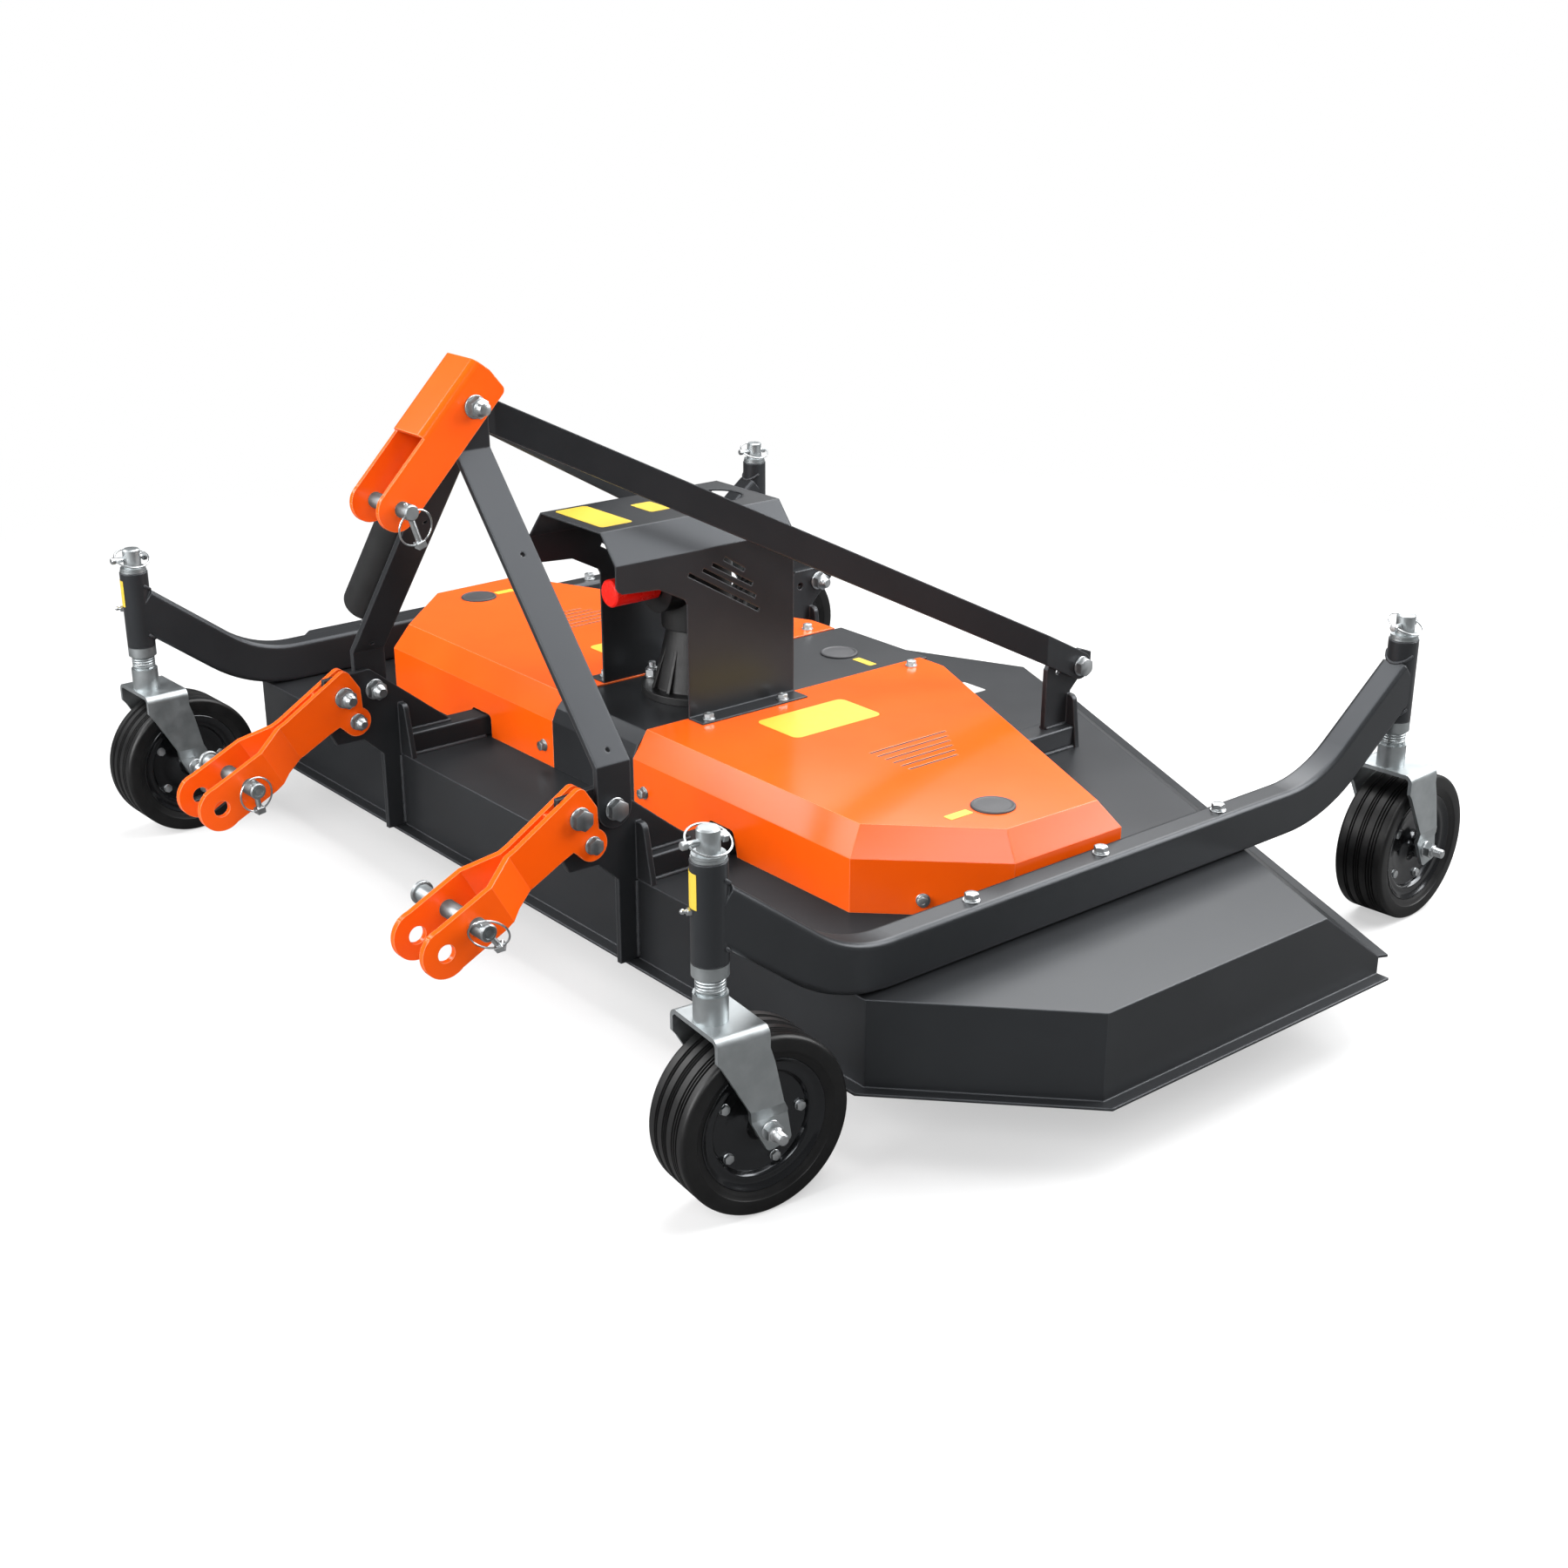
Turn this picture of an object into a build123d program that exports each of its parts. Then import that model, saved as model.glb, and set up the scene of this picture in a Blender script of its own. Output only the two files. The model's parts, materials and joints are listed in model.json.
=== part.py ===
"""Three-blade finishing mower for a tractor's three-point hitch, about 2.26 m cut.

Frame: millimetres, floor at z = 0, front (tractor side) towards -Y, machine's left towards +X.
"""
import os
from math import atan2, cos, degrees, hypot, radians, sin, sqrt, tan

from build123d import *

os.makedirs("parts", exist_ok=True)

SIDES = (("left", 1), ("right", -1))
BOTTOM = (Align.CENTER, Align.CENTER, Align.MIN)

# spindles: the two side ones stand ahead of the centre one, so that the blades' paths overlap
CUT_RADIUS = 390.0
TIP_GAP = 27.8              # between the paths of neighbouring blades
SIDE_Y = -101.9
CENTRE_Y = 225.4
SPINDLE_X = sqrt((2 * CUT_RADIUS + TIP_GAP) ** 2 - (CENTRE_Y - SIDE_Y) ** 2)
# name, x, y
SPINDLES = (("left", SPINDLE_X, SIDE_Y), ("right", -SPINDLE_X, SIDE_Y), ("centre", 0.0, CENTRE_Y))
SHAFT_R = 15.0
RUNNING_GAP = 0.05
END_PLAY = 0.5
HOUSING_FOOT = 172.0
HOUSING_R = 48.0
HOUSING_FLANGE_R = 95.0
FLANGE_DEEP = 12.0
SHAFT_TOP = 230.0
BLADE_Z = 128.0
BLADE_WIDE = 64.0
BLADE_THICK = 6.0
BLADE_WING = 12.0
WING_LONG = 120.0
WING_HIGH = 16.0
HUB_UNDER = 12.0            # nut below the blade
HUB_OVER = 14.0             # collar above it

# deck
WALL_GAP = 19.5             # from a blade's path to the side wall
FRONT_GAP = 16.6
DECK_HALF = SPINDLE_X + CUT_RADIUS + WALL_GAP
DECK_FRONT = SIDE_Y - CUT_RADIUS - FRONT_GAP
CHAMFER_WIDE = 242.0
CHAMFER_LONG = 229.0
FRONT_CORNER = DECK_HALF - CHAMFER_WIDE     # half width of the straight front wall
CHAMFER_END = DECK_FRONT + CHAMFER_LONG     # y where the front chamfer meets the side wall
SIDE_END = CENTRE_Y - 22.4  # y where the deck top ends at the side wall
REAR_SLOPE = 0.4534         # rise in y per mm towards the middle of the rear edge
DECK_TOP = 248.0
DECK_FOOT = 111.0           # underside of the walls, top of the flange
DECK_PLATE = 4.0
FLANGE_OUT = 22.0
FLANGE_THICK = 4.0
PANEL_REACH = 146.0         # how far behind the top edge the sloping rear panel ends, along y
PANEL_FOOT = 139.0          # height of the panel's lower edge
LIP_OUT = 21.0

# top rails
RAIL_X = 363.5
RAIL_WIDE = 50.0
RAIL_HIGH = 40.0
RAIL_IN = 10.0              # from the deck's front wall to the rail's end
RAIL_BEHIND = 230.1         # from the centre spindle to the rail's rear end
RAIL_FRONT = DECK_FRONT + RAIL_IN
RAIL_REAR = CENTRE_Y + RAIL_BEHIND
GUSSET_THICK = RAIL_IN
GUSSET_TOP = 345.0

# plates and hitch: places in side view are (y, z), set off from the deck's front wall
PLATE = 10.0
CLEVIS_BIG = (DECK_FRONT - 109.0, 380.0)
CLEVIS_SMALL = (DECK_FRONT - 87.0, 331.0)
CLEVIS_BIG_LOBE = 32.5
CLEVIS_SMALL_LOBE = 26.5
MAST_FOOT = (DECK_FRONT - 44.0, 380.0)
HITCH_HOLE = (DECK_FRONT - 367.0, 246.0)
HITCH_PIN = (DECK_FRONT - 314.0, 274.0)
HITCH_R = 39.5
HITCH_HALF = 46.0           # half the width over the two lower clevis plates
HITCH_HOLE_R = 14.2
HITCH_PIN_R = 14.0
HITCH_HEAD_R = 19.0
PIN_HEAD_THICK = 9.0
PIN_LONG_END = 70.0         # past the plate at the head's end
PIN_SHORT_END = 33.0
LINCH_R = 4.5               # cross holes for linchpins
LINCH_TURN = 35.0           # degrees they lean off upright
LINCH_AT = 12.0             # from a pin's tip to its cross hole
JOGGLE_AT = (DECK_FRONT - 234.0, 300.0) # middle of the joggle in the clevis plates
JOGGLE_DOWN = 29.0          # degrees below level, towards the front
BIG_BOLT_R = 10.0
BIG_BOLT_ACROSS = 30.0
SMALL_BOLT_R = 8.0
SMALL_BOLT_ACROSS = 24.0
CROSS = 60.0                # reach of a cross hole's cutter to each side of a plate

# mast
MAST_TOP = (DECK_FRONT - 52.0, 944.0)
LEG_WIDE = 62.0
LEG_TOP_X = 27.0
LEG_BEND_LOW = 451.0
LEG_BEND_HIGH = 873.0
STAY_WIDE = 50.0
STAY_TOP_X = 17.0
STAY_REAR = (RAIL_REAR + 22.5, 396.0)
SPARE_HOLE = (RAIL_REAR - 25.5, 392.0)
SPARE_HOLE_R = 7.0
LEG_HOLE_R = 4.0
LEG_HOLES = (22.0, 358.0)   # along the sloping part of each mast leg

# top link clevis, drawn along the line from the mast bolt to its own pin
TOP_HALF = 45.0
TOP_SHEET = 8.0
TOP_PIN_AT = 196.0
TOP_PIN_R = 12.5
TOP_BOLT_R = 10.0
TOP_DOWN = 45.8             # degrees below level, towards the front
TOP_FACE = 46.0             # outer face of the web above that line
TOP_BACK = 28.0             # plate edge below that line
TOP_TAIL = 56.0
TOP_WEB_END = 91.0
TOP_EAR_R = 33.0
TOP_EAR_AHEAD = 6.0         # middle of the ear's round end, ahead of the pin and above the line
TOP_PIN_HEAD = 10.0         # thickness of the top link pin's head
TOP_PIN_PLAY = 2.0          # from the head to the clevis
TOP_PIN_LONG = 30.0         # past the clevis at the linchpin's end
MAST_WASHER = 3.0
MAST_WASHER_R = 18.0
MANUAL_R = 38.0
MANUAL_START = 75.0         # along the sloping part of the right mast leg
MANUAL_LONG = 365.0

# wheels and forks
WHEEL_R = 132.0
TYRE_WIDE = 93.0
SHOULDER_R = 15.0
TYRE_HIGH = 34.0            # from the rim's edge to the tread
RIM_R = WHEEL_R - TYRE_HIGH
DISC_HALF = 25.0            # outer faces of the two pressed discs
DISC_RING_R = RIM_R - 24.0  # where the disc turns out to the rim
RIM_BOLT_CIRCLE = RIM_R - 33.0
RIM_BOLT_COUNT = 5
RIM_BOLT_ACROSS = 13.0
RIM_BOLT_HIGH = 7.0
TRAIL = 58.0
AXLE_R = 8.0
AXLE_ACROSS = 24.0
HUB_HALF = 45.0
HUB_R = 19.0
FORK_TOP = 2 * WHEEL_R + 27.0
FORK_HALF = 61.0
FORK_AXLE_HALF = 54.0
FORK_PLATE = 7.0
PIN_R = 16.0
BOSS_R = 24.0
BOSS_HIGH = 40.0
SPACER_R = 19.5
SPACER_COUNT = 7
SPACER_HIGH = 26.0
COLLAR_HIGH = 18.0
SLEEVE_R = 25.5
SLEEVE_LONG = 144.0
SLEEVE_LOW = FORK_TOP + BOSS_HIGH + SPACER_HIGH + COLLAR_HIGH
SLEEVE_HIGH = SLEEVE_LOW + SLEEVE_LONG
WASHER_HIGH = 4.0
PIN_TOP = SLEEVE_HIGH + 44.0

# side tubes and casters
CASTER_IN = 268.0           # from the deck's side wall to the swivel pins
CASTER_AHEAD = 248.0        # from the deck's front wall to the front ones
CASTER_BEHIND = 112.6       # from the centre blade's path to the rear ones
CASTER_X = DECK_HALF - CASTER_IN
CASTER_FRONT = DECK_FRONT - CASTER_AHEAD
CASTER_REAR = CENTRE_Y + CUT_RADIUS + CASTER_BEHIND
TUBE_WIDE = 50.0
TUBE_HIGH = 76.0
TUBE_CORNER = 9.0
TUBE_BEND = 260.0
TUBE_ANGLE = 37.3
TUBE_LOW = DECK_TOP + TUBE_HIGH / 2
TUBE_RISE = SLEEVE_LOW + 0.54 * SLEEVE_LONG - TUBE_LOW
TUBE_KNEE = TUBE_RISE / tan(radians(TUBE_ANGLE))    # from the pin to the bend's corner, along y
# casters: name, x, y, swivel angle in degrees about z
CASTERS = (
    ("front_left", CASTER_X, CASTER_FRONT, -6.5),
    ("front_right", -CASTER_X, CASTER_FRONT, 1.0),
    ("rear_left", CASTER_X, CASTER_REAR, 3.5),
    ("rear_right", -CASTER_X, CASTER_REAR, -5.0),
)

# covers
COVER_TOP = 381.0
COVER_BREAK = 336.0
COVER_SHEET = 3.0
CENTRE_HALF = 122.0
COVER_FRONT = SIDE_Y - 234.6
COVER_SLOPE = 30.0          # how far the front face leans back over its height
COVER_GAP = 31.0            # from the foot of the cover to the middle of the side tube
COVER_OUT = CASTER_X - COVER_GAP
COVER_TOP_PLAN = ((CENTRE_HALF, COVER_FRONT + COVER_SLOPE), (SPINDLE_X - 75.5, COVER_FRONT + COVER_SLOPE),
                  (COVER_OUT - 32, SIDE_Y - 49.6), (COVER_OUT - 26, SIDE_Y + 141.4),
                  (CENTRE_HALF + 65, CENTRE_Y + 91.1), (CENTRE_HALF, CENTRE_Y + 92.1))
COVER_FOOT_PLAN = ((CENTRE_HALF, COVER_FRONT), (SPINDLE_X - 63.5, COVER_FRONT),
                   (COVER_OUT - 3, SIDE_Y - 58.1), (COVER_OUT, SIDE_Y + 171.9),
                   (CENTRE_HALF + 75, CENTRE_Y + 126.6), (CENTRE_HALF, CENTRE_Y + 127.6))
VENT_AT = (SPINDLE_X - 292.0, SIDE_Y + 7.9)     # x and y of the first vent slot's front end
VENT_STEP = 18.9
VENT_LONG = 170.0
VENT_SHORTER = 12.6         # each slot is this much shorter than the one before
VENT_WIDE = 5.0
VENT_COUNT = 6
NOTCH_FOOT = (-36.0, 40.0)  # the notch over the rail, to each side of the rail's middle, at the deck
NOTCH_TOP = (-36.0, 29.0)
NOTCH_HIGH = RAIL_HIGH + 2.5
NOTCH_REACH = 90.0          # along y, past the cover's front and rear faces
CENTRE_FRONT = COVER_FRONT + 0.5
CENTRE_REAR = CENTRE_Y + 110.6

# gearbox and its guard
GEAR_Y = -106.5
GUARD_HALF = CENTRE_HALF + 6.0      # its legs stand on the side covers
GUARD_TOP_HALF = GUARD_HALF - 41.0
GUARD_TOP = 722.0
GUARD_SHOULDER = 673.0
GUARD_FRONT = GEAR_Y - 258.0
GUARD_FOOT_FRONT = GEAR_Y - 115.0
GUARD_REAR = GEAR_Y + 115.0
GUARD_SHEET = 3.0
GUARD_FLANGE = 38.0
GUARD_HOLE_R = 47.0         # round hole through the top, over the gearbox
GUARD_HOLE_Y = GEAR_Y + 44.5
LOUVRE_WIDE = 6.0
# louvres in each side wall: both ends of each slot, along y from the gearbox's axis and up from its input
LOUVRES = (((-111.5, 48), (37.5, -40)), ((-81.5, 51), (30.5, -15)), ((-61.5, 57), (23.5, 8)),
           ((-36.5, 63), (6.5, 36)))
GEAR_FLANGE_R = 100.0
GEAR_FLANGE_HIGH = 14.0
GEAR_SKIRT_R = 78.0
GEAR_NECK_R = 52.0
GEAR_NECK_Z = 500.0
GEAR_CASE_R = 62.0
GEAR_CASE_HIGH = 150.0
INPUT_Z = 587.0
INPUT_TIP = GEAR_Y - 185.5
INPUT_FACE = GEAR_Y - 89.5
INPUT_HUB_R = 50.0
INPUT_SHAFT_R = 17.5
CAP_R = 24.0
CAP_END = 8.0
CAP_SHORT = 3.0             # how far the cap stops short of the gearbox


def prism(points, low, high):
    """Flat-plan block between two heights."""
    with BuildPart() as p:
        with BuildSketch(Plane.XY.offset(low)):
            with BuildLine():
                Polyline(*points, close=True)
            make_face()
        extrude(amount=high - low)
    return p.part


def side_plate(points, x_low, x_high):
    """Plate drawn in side view (y, z) between two x values."""
    with BuildPart() as p:
        with BuildSketch(Plane.YZ.offset(x_low)):
            with BuildLine():
                Polyline(*points, close=True)
            make_face()
        extrude(amount=x_high - x_low)
    return p.part


def front_plate(points, y_low, y_high):
    """Plate drawn in front view (x, z) between two y values."""
    with BuildPart() as p:
        with BuildSketch(Plane.XZ.offset(-y_high)):
            with BuildLine():
                Polyline(*points, close=True)
            make_face()
        extrude(amount=y_high - y_low)
    return p.part


def strip(points, thick):
    """Closed outline of a flat bar of given thickness bent along a centre line."""
    left, right = [], []
    for i, (x, y) in enumerate(points):
        before = points[max(i - 1, 0)]
        after = points[min(i + 1, len(points) - 1)]
        a = atan2(y - before[1], x - before[0]) if i else atan2(after[1] - y, after[0] - x)
        b = atan2(after[1] - y, after[0] - x) if i < len(points) - 1 else a
        mid, half = (a + b) / 2, (b - a) / 2
        reach = thick / 2 / cos(half)
        left.append((x - reach * sin(mid), y + reach * cos(mid)))
        right.append((x + reach * sin(mid), y - reach * cos(mid)))
    return left + right[::-1]


def inset(points, gap):
    """Outline moved inwards by a gap; a list gives each edge, from point i to i + 1, its own."""
    n = len(points)
    gaps = gap if isinstance(gap, (list, tuple)) else [gap] * n
    area = sum(points[i - 1][0] * points[i][1] - points[i][0] * points[i - 1][1] for i in range(n))
    turn = 1 if area > 0 else -1
    edges = []
    for i in range(n):
        (x0, y0), (x1, y1) = points[i], points[(i + 1) % n]
        length = hypot(x1 - x0, y1 - y0)
        nx, ny = -(y1 - y0) / length * turn, (x1 - x0) / length * turn
        edges.append((nx, ny, nx * x0 + ny * y0 + gaps[i]))
    out = []
    for i in range(n):
        a1, b1, c1 = edges[i - 1]
        a2, b2, c2 = edges[i]
        d = a1 * b2 - a2 * b1
        out.append(((c1 * b2 - c2 * b1) / d, (a1 * c2 - a2 * c1) / d))
    return out


def rod_x(y, z, x_low, x_high, radius):
    """Round bar along x."""
    with BuildPart() as p:
        with Locations(((x_low + x_high) / 2, y, z)):
            Cylinder(radius, x_high - x_low, rotation=(0, 90, 0))
    return p.part


def hex_x(y, z, x_low, x_high, across):
    """Hexagon head or nut along x."""
    with BuildPart() as p:
        with BuildSketch(Plane.YZ.offset(x_low)):
            with Locations((y, z)):
                RegularPolygon(across / 2, 6, major_radius=False)
        extrude(amount=x_high - x_low)
    return p.part


def bolt_x(y, z, x_low, x_high, radius, across):
    """Bolt along x: head beyond x_high, nut and stub beyond x_low."""
    with BuildPart() as p:
        add(rod_x(y, z, x_low - radius * 2.4, x_high, radius))
        add(hex_x(y, z, x_high, x_high + radius * 1.25, across))
        add(hex_x(y, z, x_low - radius * 1.6, x_low, across))
    return p.part


def mirror_part(part):
    with BuildPart() as p:
        mirror(part, about=Plane.YZ)
    return p.part


# deck shell
def v_line(x, at_side):
    """y of the rear edge at x for the line that meets the side wall at at_side."""
    return at_side + REAR_SLOPE * (DECK_HALF - abs(x))


def tub(gap, low):
    """Deck volume, moved in by the plate gap: front, chamfers, sides and the sloping rear."""
    half, top, rear = DECK_HALF, DECK_TOP - gap, SIDE_END + PANEL_REACH
    plan = [(-FRONT_CORNER, DECK_FRONT), (FRONT_CORNER, DECK_FRONT), (half, CHAMFER_END),
            (half, rear), (0, v_line(0, rear)), (-half, rear), (-half, CHAMFER_END)]
    gaps = [gap, gap, gap, 0, 0, gap, gap]
    rise = (DECK_TOP - PANEL_FOOT) / PANEL_REACH
    drop = gap / cos(atan2(DECK_TOP - PANEL_FOOT, PANEL_REACH))
    over = 80.0
    above = [(SIDE_END - over, DECK_TOP - drop + over * rise), (rear + over, PANEL_FOOT - drop - over * rise),
             (rear + over, DECK_TOP + over), (SIDE_END - over, DECK_TOP + over)]
    with BuildPart() as p:
        with BuildSketch(Plane.XY.offset(low)):
            with BuildLine():
                Polyline(*inset(plan, gaps), close=True)
            make_face()
        extrude(amount=top - low)
        for side in (1, -1):
            with BuildSketch(Plane((side * DECK_HALF, 0, 0), x_dir=(0, 1, 0), z_dir=(1, 0, 0))):
                with BuildLine():
                    Polyline(*above, close=True)
                make_face()
            extrude(amount=DECK_HALF * 1.3, dir=(-side, REAR_SLOPE, 0), mode=Mode.SUBTRACT)
    return p.part


flange_plan = [(-DECK_HALF, SIDE_END + PANEL_REACH), (-DECK_HALF, CHAMFER_END), (-FRONT_CORNER, DECK_FRONT),
               (FRONT_CORNER, DECK_FRONT), (DECK_HALF, CHAMFER_END), (DECK_HALF, SIDE_END + PANEL_REACH)]
lip_plan = [(-DECK_HALF, SIDE_END + PANEL_REACH), (0, v_line(0, SIDE_END + PANEL_REACH)),
            (DECK_HALF, SIDE_END + PANEL_REACH)]

with BuildPart() as deck_shell:
    add(tub(0, DECK_FOOT - FLANGE_THICK))
    add(tub(DECK_PLATE, DECK_FOOT - 3 * FLANGE_THICK), mode=Mode.SUBTRACT)
    # outward flange along the foot of the front, chamfers and sides
    wider = 1 + FLANGE_OUT / 2 / DECK_HALF
    foot_line = [(x * wider, y) if abs(x) == DECK_HALF else (x, y - FLANGE_OUT / 2) for x, y in flange_plan]
    add(prism(strip(foot_line, FLANGE_OUT), DECK_FOOT - FLANGE_THICK, DECK_FOOT))
    # lip behind the sloping rear panels
    lip_line = [(x, y + LIP_OUT / 2 - DECK_PLATE / 2) for x, y in lip_plan]
    add(prism(strip(lip_line, LIP_OUT), PANEL_FOOT - DECK_PLATE, PANEL_FOOT))

# spindle housings under the deck and blade rotors in them
HOUSING_HIGH = DECK_TOP - DECK_PLATE - HOUSING_FOOT
SHAFT_IN = SHAFT_TOP - HOUSING_FOOT
with BuildPart() as spindle_housings:
    for name, x, y in SPINDLES:
        with Locations((x, y, HOUSING_FOOT)):
            Cylinder(HOUSING_R, HOUSING_HIGH, align=BOTTOM)
            with Locations((0, 0, HOUSING_HIGH - FLANGE_DEEP)):
                Cylinder(HOUSING_FLANGE_R, FLANGE_DEEP, align=BOTTOM)
            Cylinder(SHAFT_R + RUNNING_GAP, SHAFT_IN + END_PLAY, align=BOTTOM, mode=Mode.SUBTRACT)

blade_parts = {}
for name, x, y in SPINDLES:
    with BuildPart() as rotor:
        with Locations((x, y, 0)):
            with Locations((0, 0, BLADE_Z - HUB_UNDER)):
                Cylinder(SHAFT_R, SHAFT_TOP - BLADE_Z + HUB_UNDER, align=BOTTOM)
                Cylinder(1.5 * SHAFT_R, HUB_UNDER, align=BOTTOM)
            with Locations((0, 0, BLADE_Z + BLADE_THICK)):
                Cylinder(2.25 * SHAFT_R, HUB_OVER, align=BOTTOM)
            with Locations((0, 0, BLADE_Z)):
                Box(2 * CUT_RADIUS - END_PLAY, BLADE_WIDE, BLADE_THICK, align=BOTTOM)
            # raised sail at the trailing edge of each end
            for end in (1, -1):
                tip = CUT_RADIUS - WING_LONG / 2 - 10
                with Locations((end * tip, -end * (BLADE_WIDE - BLADE_WING) / 2, BLADE_Z + BLADE_THICK)):
                    Box(WING_LONG, BLADE_WING, WING_HIGH, align=BOTTOM)
    blade_parts[name] = rotor

# rails, brackets, lower clevises, mast legs and stays: drawn on the left, mirrored to the right
def rail_left():
    with BuildPart() as p:
        with Locations((RAIL_X, (RAIL_FRONT + RAIL_REAR) / 2, DECK_TOP + RAIL_HIGH / 2)):
            Box(RAIL_WIDE, RAIL_REAR - RAIL_FRONT, RAIL_HIGH)
        fillet(p.edges().filter_by(Axis.Y), 4)
    return p.part


def gusset(y_low, y_high, foot_half, top_half):
    points = [(RAIL_X - foot_half, DECK_TOP), (RAIL_X + foot_half, DECK_TOP),
              (RAIL_X + top_half, GUSSET_TOP), (RAIL_X - top_half, GUSSET_TOP)]
    with BuildPart() as p:
        add(front_plate(points, y_low, y_high))
        fillet(p.edges().filter_by(Axis.Y).group_by(Axis.Z)[-1], 12)
    return p.part


def hitch_bracket_left():
    """Front strip down the deck wall, the bolt plate and the gusset across the rail's front end."""
    rail_top, strip_y = DECK_TOP + RAIL_HIGH, DECK_FRONT - 35
    (my, mz), (by, bz), (sy, sz) = MAST_FOOT, CLEVIS_BIG, CLEVIS_SMALL
    outline = [(strip_y, DECK_FOOT), (DECK_FRONT, DECK_FOOT), (DECK_FRONT, DECK_TOP), (RAIL_FRONT, DECK_TOP),
               (RAIL_FRONT, rail_top), (RAIL_FRONT + 98, rail_top), (RAIL_FRONT + 81, rail_top + 15),
               (my - 7, mz + 39), (by - 32, bz + 35), (by - 34, bz - 50), (sy - 38, sz - 39), (sy + 15, sz - 40),
               (strip_y, DECK_TOP + 8)]
    with BuildPart() as p:
        add(side_plate(outline, RAIL_X - PLATE / 2, RAIL_X + PLATE / 2))
        fillet(p.edges().filter_by(Axis.X).group_by(Axis.Z)[-1], 18)
        add(gusset(DECK_FRONT, RAIL_FRONT, 44, 24))
        for (y, z), radius in ((CLEVIS_BIG, BIG_BOLT_R), (CLEVIS_SMALL, SMALL_BOLT_R), (MAST_FOOT, BIG_BOLT_R)):
            add(rod_x(y, z, RAIL_X - CROSS, RAIL_X + CROSS, radius), mode=Mode.SUBTRACT)
    return p.part


def clevis_profile():
    """Side outline of a lower clevis plate: round front end, two lobes round its bolts."""
    (hy, hz), (by, bz), (sy, sz) = HITCH_HOLE, CLEVIS_BIG, CLEVIS_SMALL
    (jy, jz), across = JOGGLE_AT, 2 * HITCH_HALF
    outline = [(hy - 27, hz + 30), (jy + 11, jz + 58), (by + 6, bz + 51), (by + 32, bz + 11), (sy + 12, sz + 24),
               (sy + 26, sz), (sy, sz - 26), (sy - 18, sz - 18), (sy - 35, sz - 3), (sy - 57, sz - 13),
               (jy + 40, jz - 8), (jy, jz - 25), (jy - 30, jz - 46), (hy + 9, hz - 38)]
    with BuildPart() as p:
        add(side_plate(outline, 0, across))
        rear_top = p.edges().filter_by(Axis.X).sort_by(Axis.Z)[-2:]
        fillet(rear_top, 12)
        lobes = ((HITCH_HOLE, HITCH_R), (CLEVIS_BIG, CLEVIS_BIG_LOBE), (CLEVIS_SMALL, CLEVIS_SMALL_LOBE))
        for (y, z), radius in lobes:
            add(rod_x(y, z, 0, across, radius))
    return p.part


def lower_clevis_left():
    """Two plates, close together on the bracket and joggled apart towards the tractor."""
    slope = radians(JOGGLE_DOWN)
    along = Vector(0, cos(slope), sin(slope))
    half = HITCH_HALF - PLATE / 2
    front, rear = JOGGLE_AT[0] - HITCH_HOLE[0] + 2 * HITCH_R, CLEVIS_SMALL[0] - JOGGLE_AT[0] + 2 * HITCH_R
    path = [(-front, half), (-34, half), (22, PLATE), (rear, PLATE)]
    plane = Plane(Vector(RAIL_X, *JOGGLE_AT), x_dir=along, z_dir=Vector(0, -sin(slope), cos(slope)))
    with BuildPart() as ribbons:
        for side in (1, -1):
            with BuildSketch(plane):
                with BuildLine():
                    Polyline(*strip([(u, -side * v) for u, v in path], PLATE), close=True)
                make_face()
            extrude(amount=4 * HITCH_R, both=True)
    holes = ((HITCH_HOLE, HITCH_HOLE_R), (HITCH_PIN, HITCH_PIN_R + RUNNING_GAP), (CLEVIS_BIG, BIG_BOLT_R),
             (CLEVIS_SMALL, SMALL_BOLT_R))
    with BuildPart() as p:
        add(ribbons.part)
        add(clevis_profile().moved(Location((RAIL_X - HITCH_HALF, 0, 0))), mode=Mode.INTERSECT)
        for (y, z), radius in holes:
            add(rod_x(y, z, RAIL_X - CROSS, RAIL_X + CROSS, radius), mode=Mode.SUBTRACT)
        # spacer welded between the plates ahead of the bracket
        by, bz = CLEVIS_BIG
        spacer = [(by - 51, bz + 14), (by - 39, bz + 12), (by - 51, bz - 58), (by - 63, bz - 58)]
        add(side_plate(spacer, RAIL_X - PLATE / 2, RAIL_X + PLATE / 2))
    return p.part


def hitch_pin_at(x):
    """Loose pin, its long end and head on the machine's right, cross holes at the tip for a linchpin."""
    y, z = HITCH_PIN
    head, tip = x - HITCH_HALF - PIN_LONG_END, x + HITCH_HALF + PIN_SHORT_END
    with BuildPart() as p:
        add(rod_x(y, z, head, tip, HITCH_PIN_R))
        add(rod_x(y, z, head, head + PIN_HEAD_THICK, HITCH_HEAD_R - 2))
        add(rod_x(y, z, head + 2, head + PIN_HEAD_THICK - 2, HITCH_HEAD_R))
        with Locations((tip - LINCH_AT, y, z)):
            Cylinder(LINCH_R, 4 * HITCH_PIN_R, rotation=(LINCH_TURN, 0, 0), mode=Mode.SUBTRACT)
    return p.part


def leg_slope():
    """Foot and direction of the sloping part of the left mast leg, in front view."""
    foot = Vector(RAIL_X + PLATE, 0, LEG_BEND_LOW)
    return foot, (Vector(LEG_TOP_X, 0, LEG_BEND_HIGH) - foot).normalized()


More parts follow.
